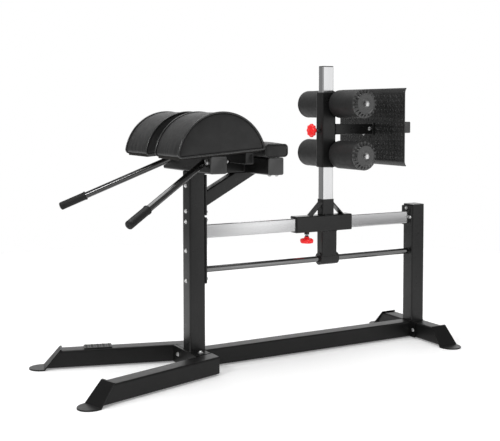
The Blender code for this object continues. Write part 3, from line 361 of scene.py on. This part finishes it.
# ---------------------------------------------------------------- padded pieces
def cloth_swell(piece, pinned, limit):
    """Inflates a closed cover by cloth simulation, with its seams and base held, then caps the movement."""
    mesh = piece.data
    rest = [vertex.co.copy() for vertex in mesh.vertices]
    group = piece.vertex_groups.new(name="held")
    group.add([index for index, point in enumerate(rest) if pinned(point)], 1.0, "ADD")
    cloth = piece.modifiers.new("cover", "CLOTH")
    settings = cloth.settings
    settings.quality = 5
    settings.mass = CLOTH_MASS
    settings.tension_stiffness = CLOTH_STIFFNESS
    settings.compression_stiffness = CLOTH_STIFFNESS
    settings.bending_stiffness = CLOTH_BENDING
    settings.use_pressure = True
    settings.uniform_pressure_force = PRESSURE
    settings.effector_weights.gravity = 0
    settings.vertex_group_mass = "held"
    cloth.point_cache.frame_end = SIM_FRAMES
    scene = bpy.context.scene
    for step in range(1, SIM_FRAMES + 1):
        scene.frame_set(step)
    graph = bpy.context.evaluated_depsgraph_get()
    swollen = [vertex.co.copy() for vertex in piece.evaluated_get(graph).data.vertices]
    piece.modifiers.clear()
    scene.frame_set(1)
    for vertex, start, end in zip(mesh.vertices, rest, swollen):
        move = end - start
        vertex.co = start + move * min(1.0, limit / max(move.length, 1e-9))


def remeshed(piece):
    """Even small faces for the simulation."""
    remesh = piece.modifiers.new("even_faces", "REMESH")
    remesh.mode = "VOXEL"
    remesh.voxel_size = VOXEL
    remesh.use_smooth_shade = True
    modified(piece)


def relaxed(piece, times):
    """Smooths the steps that remeshing leaves, and adds one subdivision."""
    soften = piece.modifiers.new("soften", "SMOOTH")
    soften.factor = 0.5
    soften.iterations = times
    fine = piece.modifiers.new("fine", "SUBSURF")
    fine.levels = 1
    fine.render_levels = 1
    modified(piece)


def padded_loops(ends, start, outline):
    """Sections along Y with both end edges rounded; outline(inset) gives a section's (X, Z) points."""
    loops = []
    for end, inward in ((ends[0], 1), (ends[1], -1)):
        rows = []
        for step in range(END_STEPS):
            turn = math.pi / 2 * step / (END_STEPS - 1)
            inset = start + PAD_END_ROUND * (1 - math.sin(turn))
            y = end + inward * (start + PAD_END_ROUND * (1 - math.cos(turn)))
            rows.append([Vector((along, y, up)) for along, up in outline(inset)])
        loops += rows if inward > 0 else rows[::-1]
    return loops


def half_moon(radius, drop, inset, steps=56, corner_steps=8):
    """Outline (along, up) of a thigh pad: an arc over a flat base, with a rounder front corner."""
    reach = radius - inset
    outline = []
    ends = []
    for corner_round in (PAD_REAR_ROUND, PAD_FRONT_ROUND):
        rounding = max(corner_round - inset, 0.003)
        height = inset + rounding
        ends.append((rounding, height, math.asin((height + drop) / (reach - rounding))))
    rounding, height, low = ends[0]
    middle = (reach - rounding) * math.cos(low)
    for step in range(corner_steps):
        turn = -math.pi / 2 + (low + math.pi / 2) * step / corner_steps
        outline.append((middle + rounding * math.cos(turn), height + rounding * math.sin(turn)))
    high = math.pi - ends[1][2]
    for step in range(steps):
        turn = low + (high - low) * step / steps
        outline.append((reach * math.cos(turn), reach * math.sin(turn) - drop))
    rounding, height, low = ends[1]
    middle = -(reach - rounding) * math.cos(low)
    for step in range(corner_steps + 1):
        turn = high + (3 * math.pi / 2 - high) * step / corner_steps
        outline.append((middle + rounding * math.cos(turn), height + rounding * math.sin(turn)))
    return outline


def pad_shape(node):
    """Placement matrix, arc radius and arc drop of a pad, measured on its solid in its tilted frame."""
    upright = Matrix.Rotation(PAD_TILT, 4, "Y")
    points = [upright @ vertex.co for vertex in frame["nodes"][node].data.vertices]
    low_along, high_along = min(p.x for p in points), max(p.x for p in points)
    low_up, high_up = min(p.z for p in points), max(p.z for p in points)
    half, height = (high_along - low_along) / 2, high_up - low_up
    radius = (height + half * half / height) / 2
    place = upright.inverted() @ Matrix.Translation(((low_along + high_along) / 2, 0, low_up))
    return place, radius, radius - height


def thigh_pad(side_name, side):
    """Half-moon leather pad with piped end panels."""
    node = "thigh_pad_" + side_name
    place, radius, drop = pad_shape(node)
    low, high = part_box(node)
    ends = (low.y, high.y)
    data = bmesh.new()
    add_loft(data, padded_loops(ends, PAD_START, lambda inset: half_moon(radius, drop, inset)))
    pad = make_piece("leather_pad_" + side_name, data, LEATHER, "frame")
    remeshed(pad)

    def held(point):
        on_base = point.z < PAD_START + HELD_BASE
        at_rim = math.hypot(point.x, point.z + drop) > radius - HELD_RIM
        at_end = min(point.y - ends[0], ends[1] - point.y) < HELD_RIM
        return on_base or (at_end and at_rim)

    cloth_swell(pad, held, PAD_SWELL)
    for vertex in pad.data.vertices:
        point = vertex.co
        distance = math.hypot(point.x, point.z + drop)
        share = 1 if point.x < 0 else FOLD_REAR
        fade = max(0.0, 1 - max(point.z - FOLD_START, 0) / FOLD_REACH) * share
        if distance > radius - 0.02 and point.z > PAD_START + 0.003:
            fold = noise.noise(Vector((point.y * 95, point.z * 14, side * 7.0)))
            fold += 0.5 * noise.noise(Vector((point.y * 210, point.z * 30, side * 3.0)))
            out = Vector((point.x, 0, point.z + drop)) / distance
            vertex.co = point + out * FOLD_DEPTH * fade * fold
    relaxed(pad, 3)
    pad.data.transform(place)
    pad.data.materials.clear()
    pad.data.materials.append(LEATHER)
    pad.data.shade_smooth()
    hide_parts(node)

    data = bmesh.new()
    for end, inward in ((ends[0], 1), (ends[1], -1)):
        edge = end + inward * PIPING_INSET
        path = [place @ Vector((along, edge, up)) for along, up in half_moon(radius, drop, PIPING_INSET, 96)]
        add_tube(data, path, PIPING, 10)
    make_piece("pad_piping_" + side_name, data, LIT_PIPING_LEATHER, "frame")


def rear_cushion():
    """Padded leather bar on the rear crossbar, with a seam round each end."""
    low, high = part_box("rear_cushion")
    middle, size = (low + high) / 2, high - low

    def outline(inset):
        rounding = max(CUSHION_ROUND - inset, 0.003)
        corners = rounded_rectangle(size.x - 2 * inset, size.z - 2 * inset, rounding, 8)
        return [(middle.x + along, middle.z + up) for along, up in corners]

    data = bmesh.new()
    add_loft(data, padded_loops((low.y, high.y), CUSHION_START, outline))
    cushion = make_piece("leather_cushion", data, LEATHER, "frame")
    remeshed(cushion)

    def held(point):
        at_end = min(point.y - low.y, high.y - point.y) < 0.012
        inner = max(abs(point.x - middle.x) - size.x / 2, abs(point.z - middle.z) - size.z / 2) < -0.014
        return point.z < low.z + CUSHION_START + 0.003 or (at_end and not inner)

    cloth_swell(cushion, held, CUSHION_SWELL)
    for vertex in cushion.data.vertices:
        point = vertex.co
        fold = noise.noise(Vector((point.x * 60, point.y * 22, point.z * 60)))
        vertex.co = point + (point - middle).normalized() * CUSHION_FOLD * fold
    relaxed(cushion, 2)
    cushion.data.materials.clear()
    cushion.data.materials.append(LEATHER)
    cushion.data.shade_smooth()
    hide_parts("rear_cushion")

    data = bmesh.new()
    for end, inward in ((low.y, 1), (high.y, -1)):
        inset = CUSHION_START + PAD_END_ROUND * 0.20
        y = end + inward * inset
        path = [Vector((along, y, up)) for along, up in outline(inset)]
        add_tube(data, resampled(path, 0.006), CUSHION_SEAM, 8)
    make_piece("cushion_seams", data, LIT_PIPING_LEATHER, "frame")


# ---------------------------------------------------------------- rollers
def foam_roller(level, side_name, side):
    """Foam sleeve with softly rounded ends and a slightly uneven skin."""
    node = f"foam_roller_{level}_{side_name}"
    low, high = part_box(node)
    middle, radius = (low + high) / 2, (high.x - low.x) / 2
    half = (high.y - low.y) / 2
    edge = ROLLER_EDGE
    profile = [(-half, ROLLER_BORE)]
    for step in range(6):
        turn = math.pi / 2 * step / 5
        profile.append((-half + edge * (1 - math.sin(turn)), radius - edge * (1 - math.cos(turn))))
    profile[1:] = profile[:0:-1]
    body_steps = 24
    for step in range(1, body_steps):
        profile.append((-half + edge + (2 * half - 2 * edge) * step / body_steps, radius))
    for step in range(6):
        turn = math.pi / 2 * step / 5
        profile.append((half - edge * (1 - math.sin(turn)), radius - edge * (1 - math.cos(turn))))
    profile.append((half, ROLLER_BORE))

    def uneven(index, angle):
        distance, reach = profile[index]
        if reach < radius - edge:
            return 0.0
        spot = Vector((math.cos(angle) * 1.6, math.sin(angle) * 1.6, distance * 18 + side))
        return -ROLLER_DENT * (1 + noise.noise(spot))

    data = bmesh.new()
    add_turned(data, profile, middle, Y_AXIS, ROLLER_STEPS, True, uneven)
    body = BODY_OF[node]
    roller = make_piece(f"foam_sleeve_{level}_{side_name}", data, FOAM, body)
    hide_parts(node)


def roller_hub(level, side_name, side):
    """Plastic end cap: slotted sloping shoulder, recessed face and a tube into the foam."""
    node = f"roller_hub_{level}_{side_name}"
    low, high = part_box(node)
    middle, radius = (low + high) / 2, (high.x - low.x) / 2
    inner, outer = (low.y, high.y) if side > 0 else (high.y, low.y)
    length = abs(outer - inner)
    rim_start, rim_end, face = length - 0.0173, length - 0.0125, length
    profile = [(0, HUB_BORE), (0, HUB_TUBE), (rim_start, HUB_TUBE), (rim_start, radius - 0.001),
               (rim_start + 0.001, radius), (rim_end - 0.001, radius), (rim_end, radius - 0.0012),
               (rim_end + 0.0012, radius - 0.0042), (face - 0.0030, 0.0515), (face - 0.0008, 0.0485),
               (face, 0.0470), (face, 0.0440), (face - 0.0012, 0.0430), (face - 0.0012, 0.0240),
               (face - 0.0002, 0.0230), (face, 0.0220), (face, HUB_BORE)]
    # depth of the slots at the points of the profile that they cross
    slot_depth = {6: 0.0060, 7: 0.0105, 8: 0.0080}

    def slots(index, angle):
        share = (angle * HUB_RIBS / (2 * math.pi)) % 1.0
        return -slot_depth.get(index, 0.0) if share < 0.45 else 0.0

    data = bmesh.new()
    place = Vector((middle.x, inner, middle.z))
    add_turned(data, profile, place, Y_AXIS * side, HUB_RIBS * 8, True, slots)
    hub = make_piece(f"ribbed_cap_{level}_{side_name}", data, LIT_HUB_PLASTIC, BODY_OF[node],
                     math.radians(28))
    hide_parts(node)


# ---------------------------------------------------------------- fasteners
def add_bolt(data, place, direction, size):
    """Hex head with a chamfered top on a washer."""
    base = 0.0018
    washer = [(0, size * 1.15), (0.0012, size * 1.15), (base, size * 1.05)]
    add_turned(data, washer, place, direction, 28)
    top = base + size * 0.62
    add_turned(data, [(base, size * 0.96), (top - size * 0.12, size * 0.96), (top, size * 0.80)],
               place, direction, 6)


def add_dome(data, place, direction, size):
    """Cap nut: washer, hex base and dome."""
    add_turned(data, [(0, size * 1.15), (0.0015, size * 1.15), (0.0020, size * 1.05)], place, direction, 28)
    add_turned(data, [(0.0015, size * 0.92), (size * 0.45, size * 0.92), (size * 0.52, size * 0.84)],
               place, direction, 6)
    rings = [(size * 0.45 + size * 0.62 * math.sin(turn), size * 0.74 * math.cos(turn))
             for turn in (math.pi / 2 * step / 7 for step in range(7))]
    rings.append((size * 1.07, size * 0.05))
    add_turned(data, rings, place, direction, 24)


def frame_fasteners():
    """Bolt heads and cap nuts on the uprights, the rail plates and the pad frame."""
    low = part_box("front_upright")[0]
    data = bmesh.new()
    for height in UPRIGHT_NUT_HEIGHTS:
        add_dome(data, (low.x, 0, height), -X_AXIS, UPRIGHT_NUT)
    plate_low, plate_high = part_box("rail_plate_rear")
    side_height = plate_low.z + 0.042
    for y, z in ((-0.029, side_height), (0.029, side_height), (0, plate_high.z - 0.012)):
        add_bolt(data, (plate_low.x, y, z), -X_AXIS, RAIL_BOLT)
    plate_low, plate_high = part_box("rail_plate_front")
    for z in (plate_low.z + 0.020, plate_high.z - 0.014):
        for y in (-0.027, 0.027):
            add_bolt(data, (plate_high.x, y, z), X_AXIS, RAIL_BOLT)
    make_piece("upright_bolts", data, STEEL, "frame")

    data = bmesh.new()
    bar_low, bar_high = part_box("pad_crossbar_front")
    bolt_inset, stud_inset = 0.031, 0.019
    bolt_height, stud_height = bar_low.z + 0.050, bar_low.z + 0.052
    for y in (bar_low.y + bolt_inset, bar_high.y - bolt_inset):
        add_bolt(data, (bar_low.x, y, bolt_height), -X_AXIS, HANDLE_BOLT)
    for y in (bar_low.y + stud_inset, bar_high.y - stud_inset):
        add_turned(data, [(0, STUD_RADIUS), (0.013, STUD_RADIUS)], (bar_high.x, y, stud_height), X_AXIS, 16)
        add_dome(data, (bar_high.x + 0.010, y, stud_height), X_AXIS, STUD_NUT)
    rear_low, rear_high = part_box("pad_crossbar_rear")
    nut_inset = 0.022
    for x in (rear_low.x + 0.020, rear_low.x + 0.055):
        add_dome(data, (x, rear_low.y + nut_inset, rear_low.z), -Z_AXIS, CUSHION_NUT)
        add_dome(data, (x, rear_high.y - nut_inset, rear_low.z), -Z_AXIS, CUSHION_NUT)
    brace_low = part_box("pad_brace")[0]
    for y in (-0.027, 0.027):
        add_bolt(data, (brace_low.x + 0.008, y, brace_low.z + 0.014), X_AXIS, BRACE_BOLT)
    make_piece("pad_frame_bolts", data, STEEL, "frame")


def base_fasteners():
    """Bolt heads and cap nuts where the legs and the beam meet."""
    data = bmesh.new()
    cross_low, cross_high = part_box("front_crossmember")
    for y in (0.066, -0.066):
        add_bolt(data, (cross_low.x, y, 0.050), -X_AXIS, TIE_BOLT)
    for y in (-0.072, 0.072):
        add_dome(data, ((cross_low.x + cross_high.x) / 2, y, cross_high.z), Z_AXIS, TIE_NUT)
    beam_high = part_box("base_beam")[1]
    for y in (-0.056, 0.056):
        add_bolt(data, (beam_high.x - 0.006, y, 0.042), -X_AXIS, FLANGE_BOLT)
    make_piece("base_bolts", data, STEEL, "frame")


def roller_fasteners():
    """Bolts of the foot-plate arm and the heads on the ends of the roller axles."""
    data = bmesh.new()
    arm_low, arm_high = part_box("foot_arm")
    bolt_x, arm_side = arm_high.x - 0.024, 0.025
    add_bolt(data, (bolt_x, -arm_side, ARM_BOLT_HEIGHT), -Y_AXIS, ARM_BOLT)
    add_bolt(data, (bolt_x, arm_side, ARM_BOLT_HEIGHT), Y_AXIS, ARM_BOLT)
    add_dome(data, (arm_low.x + 0.180, 0, arm_low.z + 0.005), -Z_AXIS, ARM_NUT)
    head = [(0, AXLE_HEAD), (0.0078, AXLE_HEAD), (0.0095, AXLE_HEAD_TOP)]
    for level in LEVELS:
        low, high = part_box("roller_axle_" + level)
        middle = (low + high) / 2
        for side, y in ((-1, low.y), (1, high.y)):
            centre = Vector((roller_axis(level).x, y - side * 0.008, middle.z))
            add_turned(data, head, centre, Y_AXIS * side, 6)
    make_piece("roller_carriage_bolts", data, STEEL, "roller_carriage")


def roller_axis(level):
    """Middle of a roller pair's axle."""
    low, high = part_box(f"foam_roller_{level}_left")
    return (low + high) / 2


def weld_loop(data, centre, direction, width, height, corner):
    """Weld bead round a box section that meets a plate."""
    side, up = basis(direction)[1:]
    outline = rounded_rectangle(width, height, corner, 4)
    path = [Vector(centre) + side * across + up * above for across, above in outline]
    add_tube(data, resampled(path, 0.0013), WELD, 6, WELD_RIPPLE, WELD_PITCH)


def welds():
    """Weld beads where tubes meet plates and tubes."""
    turns = [2 * math.pi * step / WELD_STEPS for step in range(WELD_STEPS)]
    data = bmesh.new()
    for node in ("front_upright", "rear_upright"):
        low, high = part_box(node)
        middle = (low + high) / 2
        weld_loop(data, (middle.x, middle.y, low.z), Z_AXIS, high.x - low.x, high.y - low.y, TUBE_CORNER)
    low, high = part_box("slide_rail")
    middle = (low + high) / 2
    for x in (low.x, high.x):
        weld_loop(data, (x, middle.y, middle.z), X_AXIS, high.y - low.y, high.z - low.z, WELD_CORNER)
    low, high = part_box("guide_bar")
    middle = (low + high) / 2
    bead = 0.0148
    for x in (low.x, high.x):
        ring = [Vector((x, bead * math.cos(turn), middle.z + bead * math.sin(turn))) for turn in turns]
        add_tube(data, ring, THIN_WELD, 6, WELD_RIPPLE, WELD_PITCH)
    low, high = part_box("pad_spine")
    middle = (low + high) / 2
    for x in (low.x, high.x):
        weld_loop(data, (x, middle.y, middle.z), X_AXIS, high.y - low.y, high.z - low.z, WELD_CORNER)
    for side_name in SIDES:
        add_handle_weld(data, side_name, turns)
    make_piece("frame_welds", data, COAT, "frame")

    data = bmesh.new()
    socket_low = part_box("post_socket")[0]
    hanger_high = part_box("guide_hanger")[1]
    post_low, post_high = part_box("post")
    middle = (post_low + post_high) / 2
    weld_loop(data, (middle.x, 0, socket_low.z), Z_AXIS, 0.067, 0.047, WELD_CORNER)
    weld_loop(data, (middle.x + 0.008, 0, hanger_high.z), Z_AXIS, 0.048, 0.084, WELD_CORNER)
    make_piece("carriage_welds", data, COAT, "carriage")

    data = bmesh.new()
    low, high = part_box("foot_arm")
    arm_side = 0.050
    weld_loop(data, (low.x, 0, ARM_HEIGHT), X_AXIS, arm_side, arm_side, WELD_CORNER)
    weld_loop(data, (high.x - 0.006, 0, ARM_HEIGHT), X_AXIS, arm_side, arm_side, WELD_CORNER)
    make_piece("roller_carriage_welds", data, COAT, "roller_carriage")


def add_handle_weld(data, side_name, turns):
    """Weld bead where a sloping handle meets the crossbar: a ring slid along the handle to one plane."""
    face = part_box("handle_" + side_name)[1].x
    start = centre_of("grip_" + side_name)
    along = (start - centre_of("handle_" + side_name)).normalized()
    start = start - along * (start.x - face) / along.x
    side_way, up_way = basis(along)[1:]
    ring = []
    for turn in turns:
        point = start + (side_way * math.cos(turn) + up_way * math.sin(turn)) * 0.0155
        ring.append(point + along * (face - point.x) / along.x)
    add_tube(data, ring, WELD, 6, WELD_RIPPLE, WELD_PITCH)


# ---------------------------------------------------------------- knobs, grips, caps and treads
def pull_knob(node, direction):
    """Red lobed knob with a black lock nut, on a steel plunger."""
    low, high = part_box(node)
    along = Vector(direction)
    middle = (low + high) / 2
    reach = abs((high - low).dot(along))
    tip = middle - along * reach / 2
    root = reach - KNOB_HEIGHT
    body = BODY_OF[node]
    data = bmesh.new()
    rings = [(root - 0.002, 0.0085), (root - 0.002, 0.0115), (root + 0.004, 0.0125),
             (root + 0.006, 0.0200), (root + 0.0085, 0.0255), (root + 0.012, 0.0283),
             (root + 0.020, 0.0287), (reach - 0.004, 0.0276), (reach - 0.0015, 0.0250),
             (reach - 0.0005, 0.0210), (reach - 0.0012, 0.0130), (reach - 0.0004, 0.0105), (reach, 0.0040)]
    lobe = (0, 0, 0, 0.4, 0.8, 1.0, 1.0, 0.9, 0.7, 0.4, 0, 0, 0)    # share of the lobe's depth at each ring

    def lobes(index, angle):
        return KNOB_LOBE_DEPTH * lobe[index] * math.cos(KNOB_LOBES * angle)

    add_turned(data, rings, tip, along, KNOB_LOBES * 12, False, lobes)
    knob = make_piece(node + "_knob", data, GLOWING_RED, body)
    data = bmesh.new()
    add_turned(data, [(root - 0.0075, 0.0078), (root - 0.0068, 0.0086), (root - 0.0026, 0.0086),
                      (root - 0.0020, 0.0080)], tip, along, 6)
    make_piece(node + "_nut", data, PLASTIC, body)
    data = bmesh.new()
    add_turned(data, [(0, 0.0038), (0.0010, 0.0049), (root - 0.001, 0.0049)], tip, along, 32)
    make_piece(node + "_plunger", data, STEEL, body)
    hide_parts(node)


def grip(side_name):
    """Rubber grip with fine rings, a collar and a domed closed end."""
    node = "grip_" + side_name
    centre = centre_of(node)
    along = (centre - centre_of("handle_" + side_name)).normalized()
    spans = [(vertex.co - centre).dot(along) for vertex in frame["nodes"][node].data.vertices]
    start, end = min(spans), max(spans)
    length = end - start
    radius, bore, valley = GRIP_RADIUS, GRIP_BORE, GRIP_RADIUS - GRIP_RIB_DEPTH
    profile = [(0, bore), (0, 0.0186), (0.0006, GRIP_COLLAR), (0.0055, GRIP_COLLAR), (0.0065, radius)]
    rib_start, rib_end = 0.014, length - 0.016
    for rib in range(int((rib_end - rib_start) / GRIP_RIB)):
        base = rib_start + rib * GRIP_RIB
        profile += [(base, radius), (base + 0.0008, valley), (base + 0.0020, valley), (base + 0.0028, radius)]
    dome = length - GRIP_END
    profile.append((dome, radius))
    profile += [(dome + GRIP_END * math.sin(turn), radius * (0.35 + 0.65 * math.cos(turn)))
                for turn in (math.pi / 2 * step / 6 for step in range(1, 7))]
    profile += [(length - 0.0001, 0.0030), (length - 0.0030, 0.0030), (length - 0.0040, bore)]
    data = bmesh.new()
    add_turned(data, profile, centre + along * start, along, 48, True)
    piece = make_piece("ringed_" + node, data, RUBBER, "frame")
    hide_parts(node)


def add_cap(data, centre, direction, width, height, corner, thick=0.004):
    """Moulded end cap: rounded rim and a slightly sunk face."""
    along, side, up = basis(direction)
    rings = [(0.0003, 0), (thick * 0.45, 0), (thick * 0.8, 0.0008), (thick, 0.0022), (thick, 0.0060),
             (thick - 0.0008, 0.0072)]
    loops = []
    for distance, inset in rings:
        outline = rounded_rectangle(width - 2 * inset, height - 2 * inset, max(corner - inset, 0.0012), 6)
        loops.append([Vector(centre) + along * distance + side * across + up * above
                      for across, above in outline])
    add_loft(data, loops)


def end_caps():
    """Moulded caps on the tube ends."""
    for level in ("front", "rear"):
        bar_low, bar_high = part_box("pad_crossbar_" + level)
        middle = (bar_low + bar_high) / 2
        for side_name, side in SIDES.items():
            y = bar_high.y if side > 0 else bar_low.y
            data = bmesh.new()
            add_cap(data, (middle.x, y, middle.z), Y_AXIS * side, TUBE_SIDE, TUBE_SIDE, TUBE_CORNER)
            name = f"moulded_cap_{level}_{side_name}"
            cap = make_piece(name, data, CAP_PLASTIC, "frame")
            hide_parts(f"crossbar_cap_{level}_{side_name}")
    low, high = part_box("rear_upright")
    data = bmesh.new()
    add_cap(data, ((low.x + high.x) / 2, 0, high.z), Z_AXIS, TUBE_SIDE, TUBE_SIDE, TUBE_CORNER)
    cap = make_piece("moulded_cap_upright", data, PLASTIC, "frame")
    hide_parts("rear_upright_cap")
    low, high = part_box("post")
    data = bmesh.new()
    add_cap(data, ((low.x + high.x) / 2, 0, high.z), Z_AXIS, *POST_SECTION, SECTION_CORNER)
    cap = make_piece("moulded_cap_post", data, PLASTIC, "carriage")
    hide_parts("post_cap")
    data = bmesh.new()
    low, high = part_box("foot_crosstube")
    middle = (low + high) / 2
    for side, y in ((-1, low.y), (1, high.y)):
        add_cap(data, (middle.x, y, middle.z), Y_AXIS * side, *CROSSTUBE_SECTION, SECTION_CORNER)
    make_piece("crosstube_caps", data, CAP_PLASTIC, "roller_carriage")
    data = bmesh.new()
    low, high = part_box("pad_riser")
    middle = (low + high) / 2
    for side, y in ((-1, low.y), (1, high.y)):
        add_cap(data, (middle.x, y, middle.z), Y_AXIS * side, high.x - low.x, high.z - low.z, 0.004, 0.003)
    make_piece("riser_caps", data, COAT, "frame")


def add_lozenge(data, centre, normal, turn, long, wide, high):
    """Raised tread mark: a low diamond with sloping sides."""
    along, side, up = basis(normal)
    first = side * math.cos(turn) + up * math.sin(turn)
    second = up * math.cos(turn) - side * math.sin(turn)
    loops = []
    for height, share in ((-0.0003, 1.0), (high * 0.6, 0.85), (high, 0.55)):
        loops.append([Vector(centre) + along * height + first * long * share * a + second * wide * share * b
                      for a, b in ((1, 0), (0, 1), (-1, 0), (0, -1))])
    add_loft(data, loops)


def tread_marks():
    """Diamond marks on the foot plate and low studs on the step tread."""
    low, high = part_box("foot_plate")
    data = bmesh.new()
    columns = int((high.y - low.y - PLATE_SIDES) / LOZENGE_PITCH)
    rows = int((high.z - low.z - 2 * PLATE_LIP) / LOZENGE_PITCH)
    middle = (low + high) / 2
    for column in range(columns + 1):
        for row in range(rows + 1):
            y = middle.y + (column - columns / 2) * LOZENGE_PITCH
            z = middle.z + (row - rows / 2) * LOZENGE_PITCH
            turn = math.pi / 4 if (column + row) % 2 else -math.pi / 4
            add_lozenge(data, (low.x, y, z), -X_AXIS, turn, LOZENGE_LONG, LOZENGE_WIDE, LOZENGE_HIGH)
    make_piece("plate_tread", data, PLATE_COAT, "roller_carriage", math.radians(10))

    low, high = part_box("tread_pad")
    middle = (low + high) / 2
    out = Vector((-math.cos(LEG_SPLAY), math.sin(LEG_SPLAY), 0))
    across = Z_AXIS.cross(out)
    data = bmesh.new()
    for row in range(-4, 5):
        for column in range(-2, 3):
            shift = 0.5 if row % 2 else 0.0
            if column + shift > 2.1:
                continue
            spot = middle + out * row * STUD_PITCH + across * (column + shift - 0.25) * STUD_PITCH
            spot.z = high.z
            turn = math.pi / 4 if row % 2 else -math.pi / 4
            add_lozenge(data, spot, Z_AXIS, turn, STUD_LONG, STUD_WIDE, STUD_HIGH)
    make_piece("step_tread_marks", data, SHADED_BASE_COAT, "frame", math.radians(10))


# ---------------------------------------------------------------- stage
def stage():
    """Pale floor, even room light, soft panels all round, and the camera."""
    scene = bpy.context.scene
    disc = bmesh.new()
    bmesh.ops.create_circle(disc, cap_ends=True, segments=96, radius=FLOOR_RADIUS)
    floor = bpy.data.objects.new("floor", bpy.data.meshes.new("floor"))
    disc.to_mesh(floor.data)
    disc.free()
    scene.collection.objects.link(floor)
    floor.data.materials.append(finish("pale_floor", (grey(0.90), grey(0.92)), (0.55, 0.65), 40.0,
                                       (0.02, 0.0005), glow=FLOOR_GLOW))

    world = bpy.data.worlds.new("studio")
    scene.world = world
    world.use_nodes = True
    nodes, links = world.node_tree.nodes, world.node_tree.links
    room = nodes["Background"]
    room.inputs["Color"].default_value = (1, 1, 1, 1)
    room.inputs["Strength"].default_value = ROOM_LIGHT
    backdrop = nodes.new("ShaderNodeBackground")
    backdrop.inputs["Color"].default_value = (1, 1, 1, 1)
    backdrop.inputs["Strength"].default_value = BACKDROP_LIGHT
    seen = nodes.new("ShaderNodeLightPath")
    mix = nodes.new("ShaderNodeMixShader")
    links.new(seen.outputs["Is Camera Ray"], mix.inputs["Fac"])
    links.new(room.outputs["Background"], mix.inputs[1])
    links.new(backdrop.outputs["Background"], mix.inputs[2])
    links.new(mix.outputs["Shader"], nodes["World Output"].inputs["Surface"])

    for name, (place, target, size, power) in LAMPS.items():
        light = bpy.data.lights.new(name, "AREA")
        light.shape = "RECTANGLE"
        light.size, light.size_y = size
        light.energy = power
        lamp = bpy.data.objects.new(name, light)
        scene.collection.objects.link(lamp)
        lamp.location = place
        lamp.rotation_euler = (Vector(target) - Vector(place)).to_track_quat("-Z", "Y").to_euler()
        lamp.visible_camera = False

    camera = bpy.data.objects.new("camera", bpy.data.cameras.new("camera"))
    scene.collection.objects.link(camera)
    camera.location = CAMERA_PLACE
    camera.rotation_euler = (CAMERA_PITCH, 0, CAMERA_TURN)
    camera.data.lens = CAMERA_LENS
    camera.data.shift_x, camera.data.shift_y = CAMERA_SHIFT
    scene.camera = camera
    scene.view_settings.view_transform = "Standard"
    scene.view_settings.look = "None"


# ---------------------------------------------------------------- assembly
COATED = ["front_upright", "rear_upright", "rail_plate_front", "rail_plate_rear", "pad_crossbar_front",
          "pad_crossbar_rear", "pad_spine", "pad_brace", "pad_riser", "carriage_sleeve", "post_socket",
          "guide_hanger", "roller_sleeve", "foot_arm", "foot_crosstube"]
BASE_PARTS = ["base_beam", "front_crossmember", "rear_crossbar"]
BASE_PARTS += [f"{part}_{side}" for part in ("front_leg", "front_foot", "rear_foot") for side in SIDES]


def main():
    """Makes every piece, then the stage."""
    for node in COATED:
        refined(node, COAT)
    for node in BASE_PARTS:
        refined(node, SHADED_BASE_COAT)
    refined("foot_plate", PLATE_COAT)
    for side_name in SIDES:
        refined("handle_" + side_name, HANDLE_COAT)
    refined("slide_rail", CHROME_X, CHROME_EDGE)
    refined("post", CHROME_Z, CHROME_EDGE)
    refined("guide_bar", GUIDE_STEEL, FINE_EDGE)
    refined("tread_pad", SHADED_BASE_COAT)
    for node in ("carriage_liner", "guide_bush", "roller_liner"):
        refined(node, PLASTIC, FINE_EDGE)
    for level in LEVELS:
        refined("roller_axle_" + level, GUIDE_STEEL, CHROME_EDGE)
    for side_name, side in SIDES.items():
        refined("pad_board_" + side_name, BOARD, BOARD_EDGE)
        thigh_pad(side_name, side)
        grip(side_name)
        for level in LEVELS:
            foam_roller(level, side_name, side)
            roller_hub(level, side_name, side)
    rear_cushion()
    pull_knob("carriage_pin", -Z_AXIS)
    pull_knob("roller_pin", -X_AXIS)
    end_caps()
    tread_marks()
    frame_fasteners()
    base_fasteners()
    roller_fasteners()
    welds()
    stage()


main()
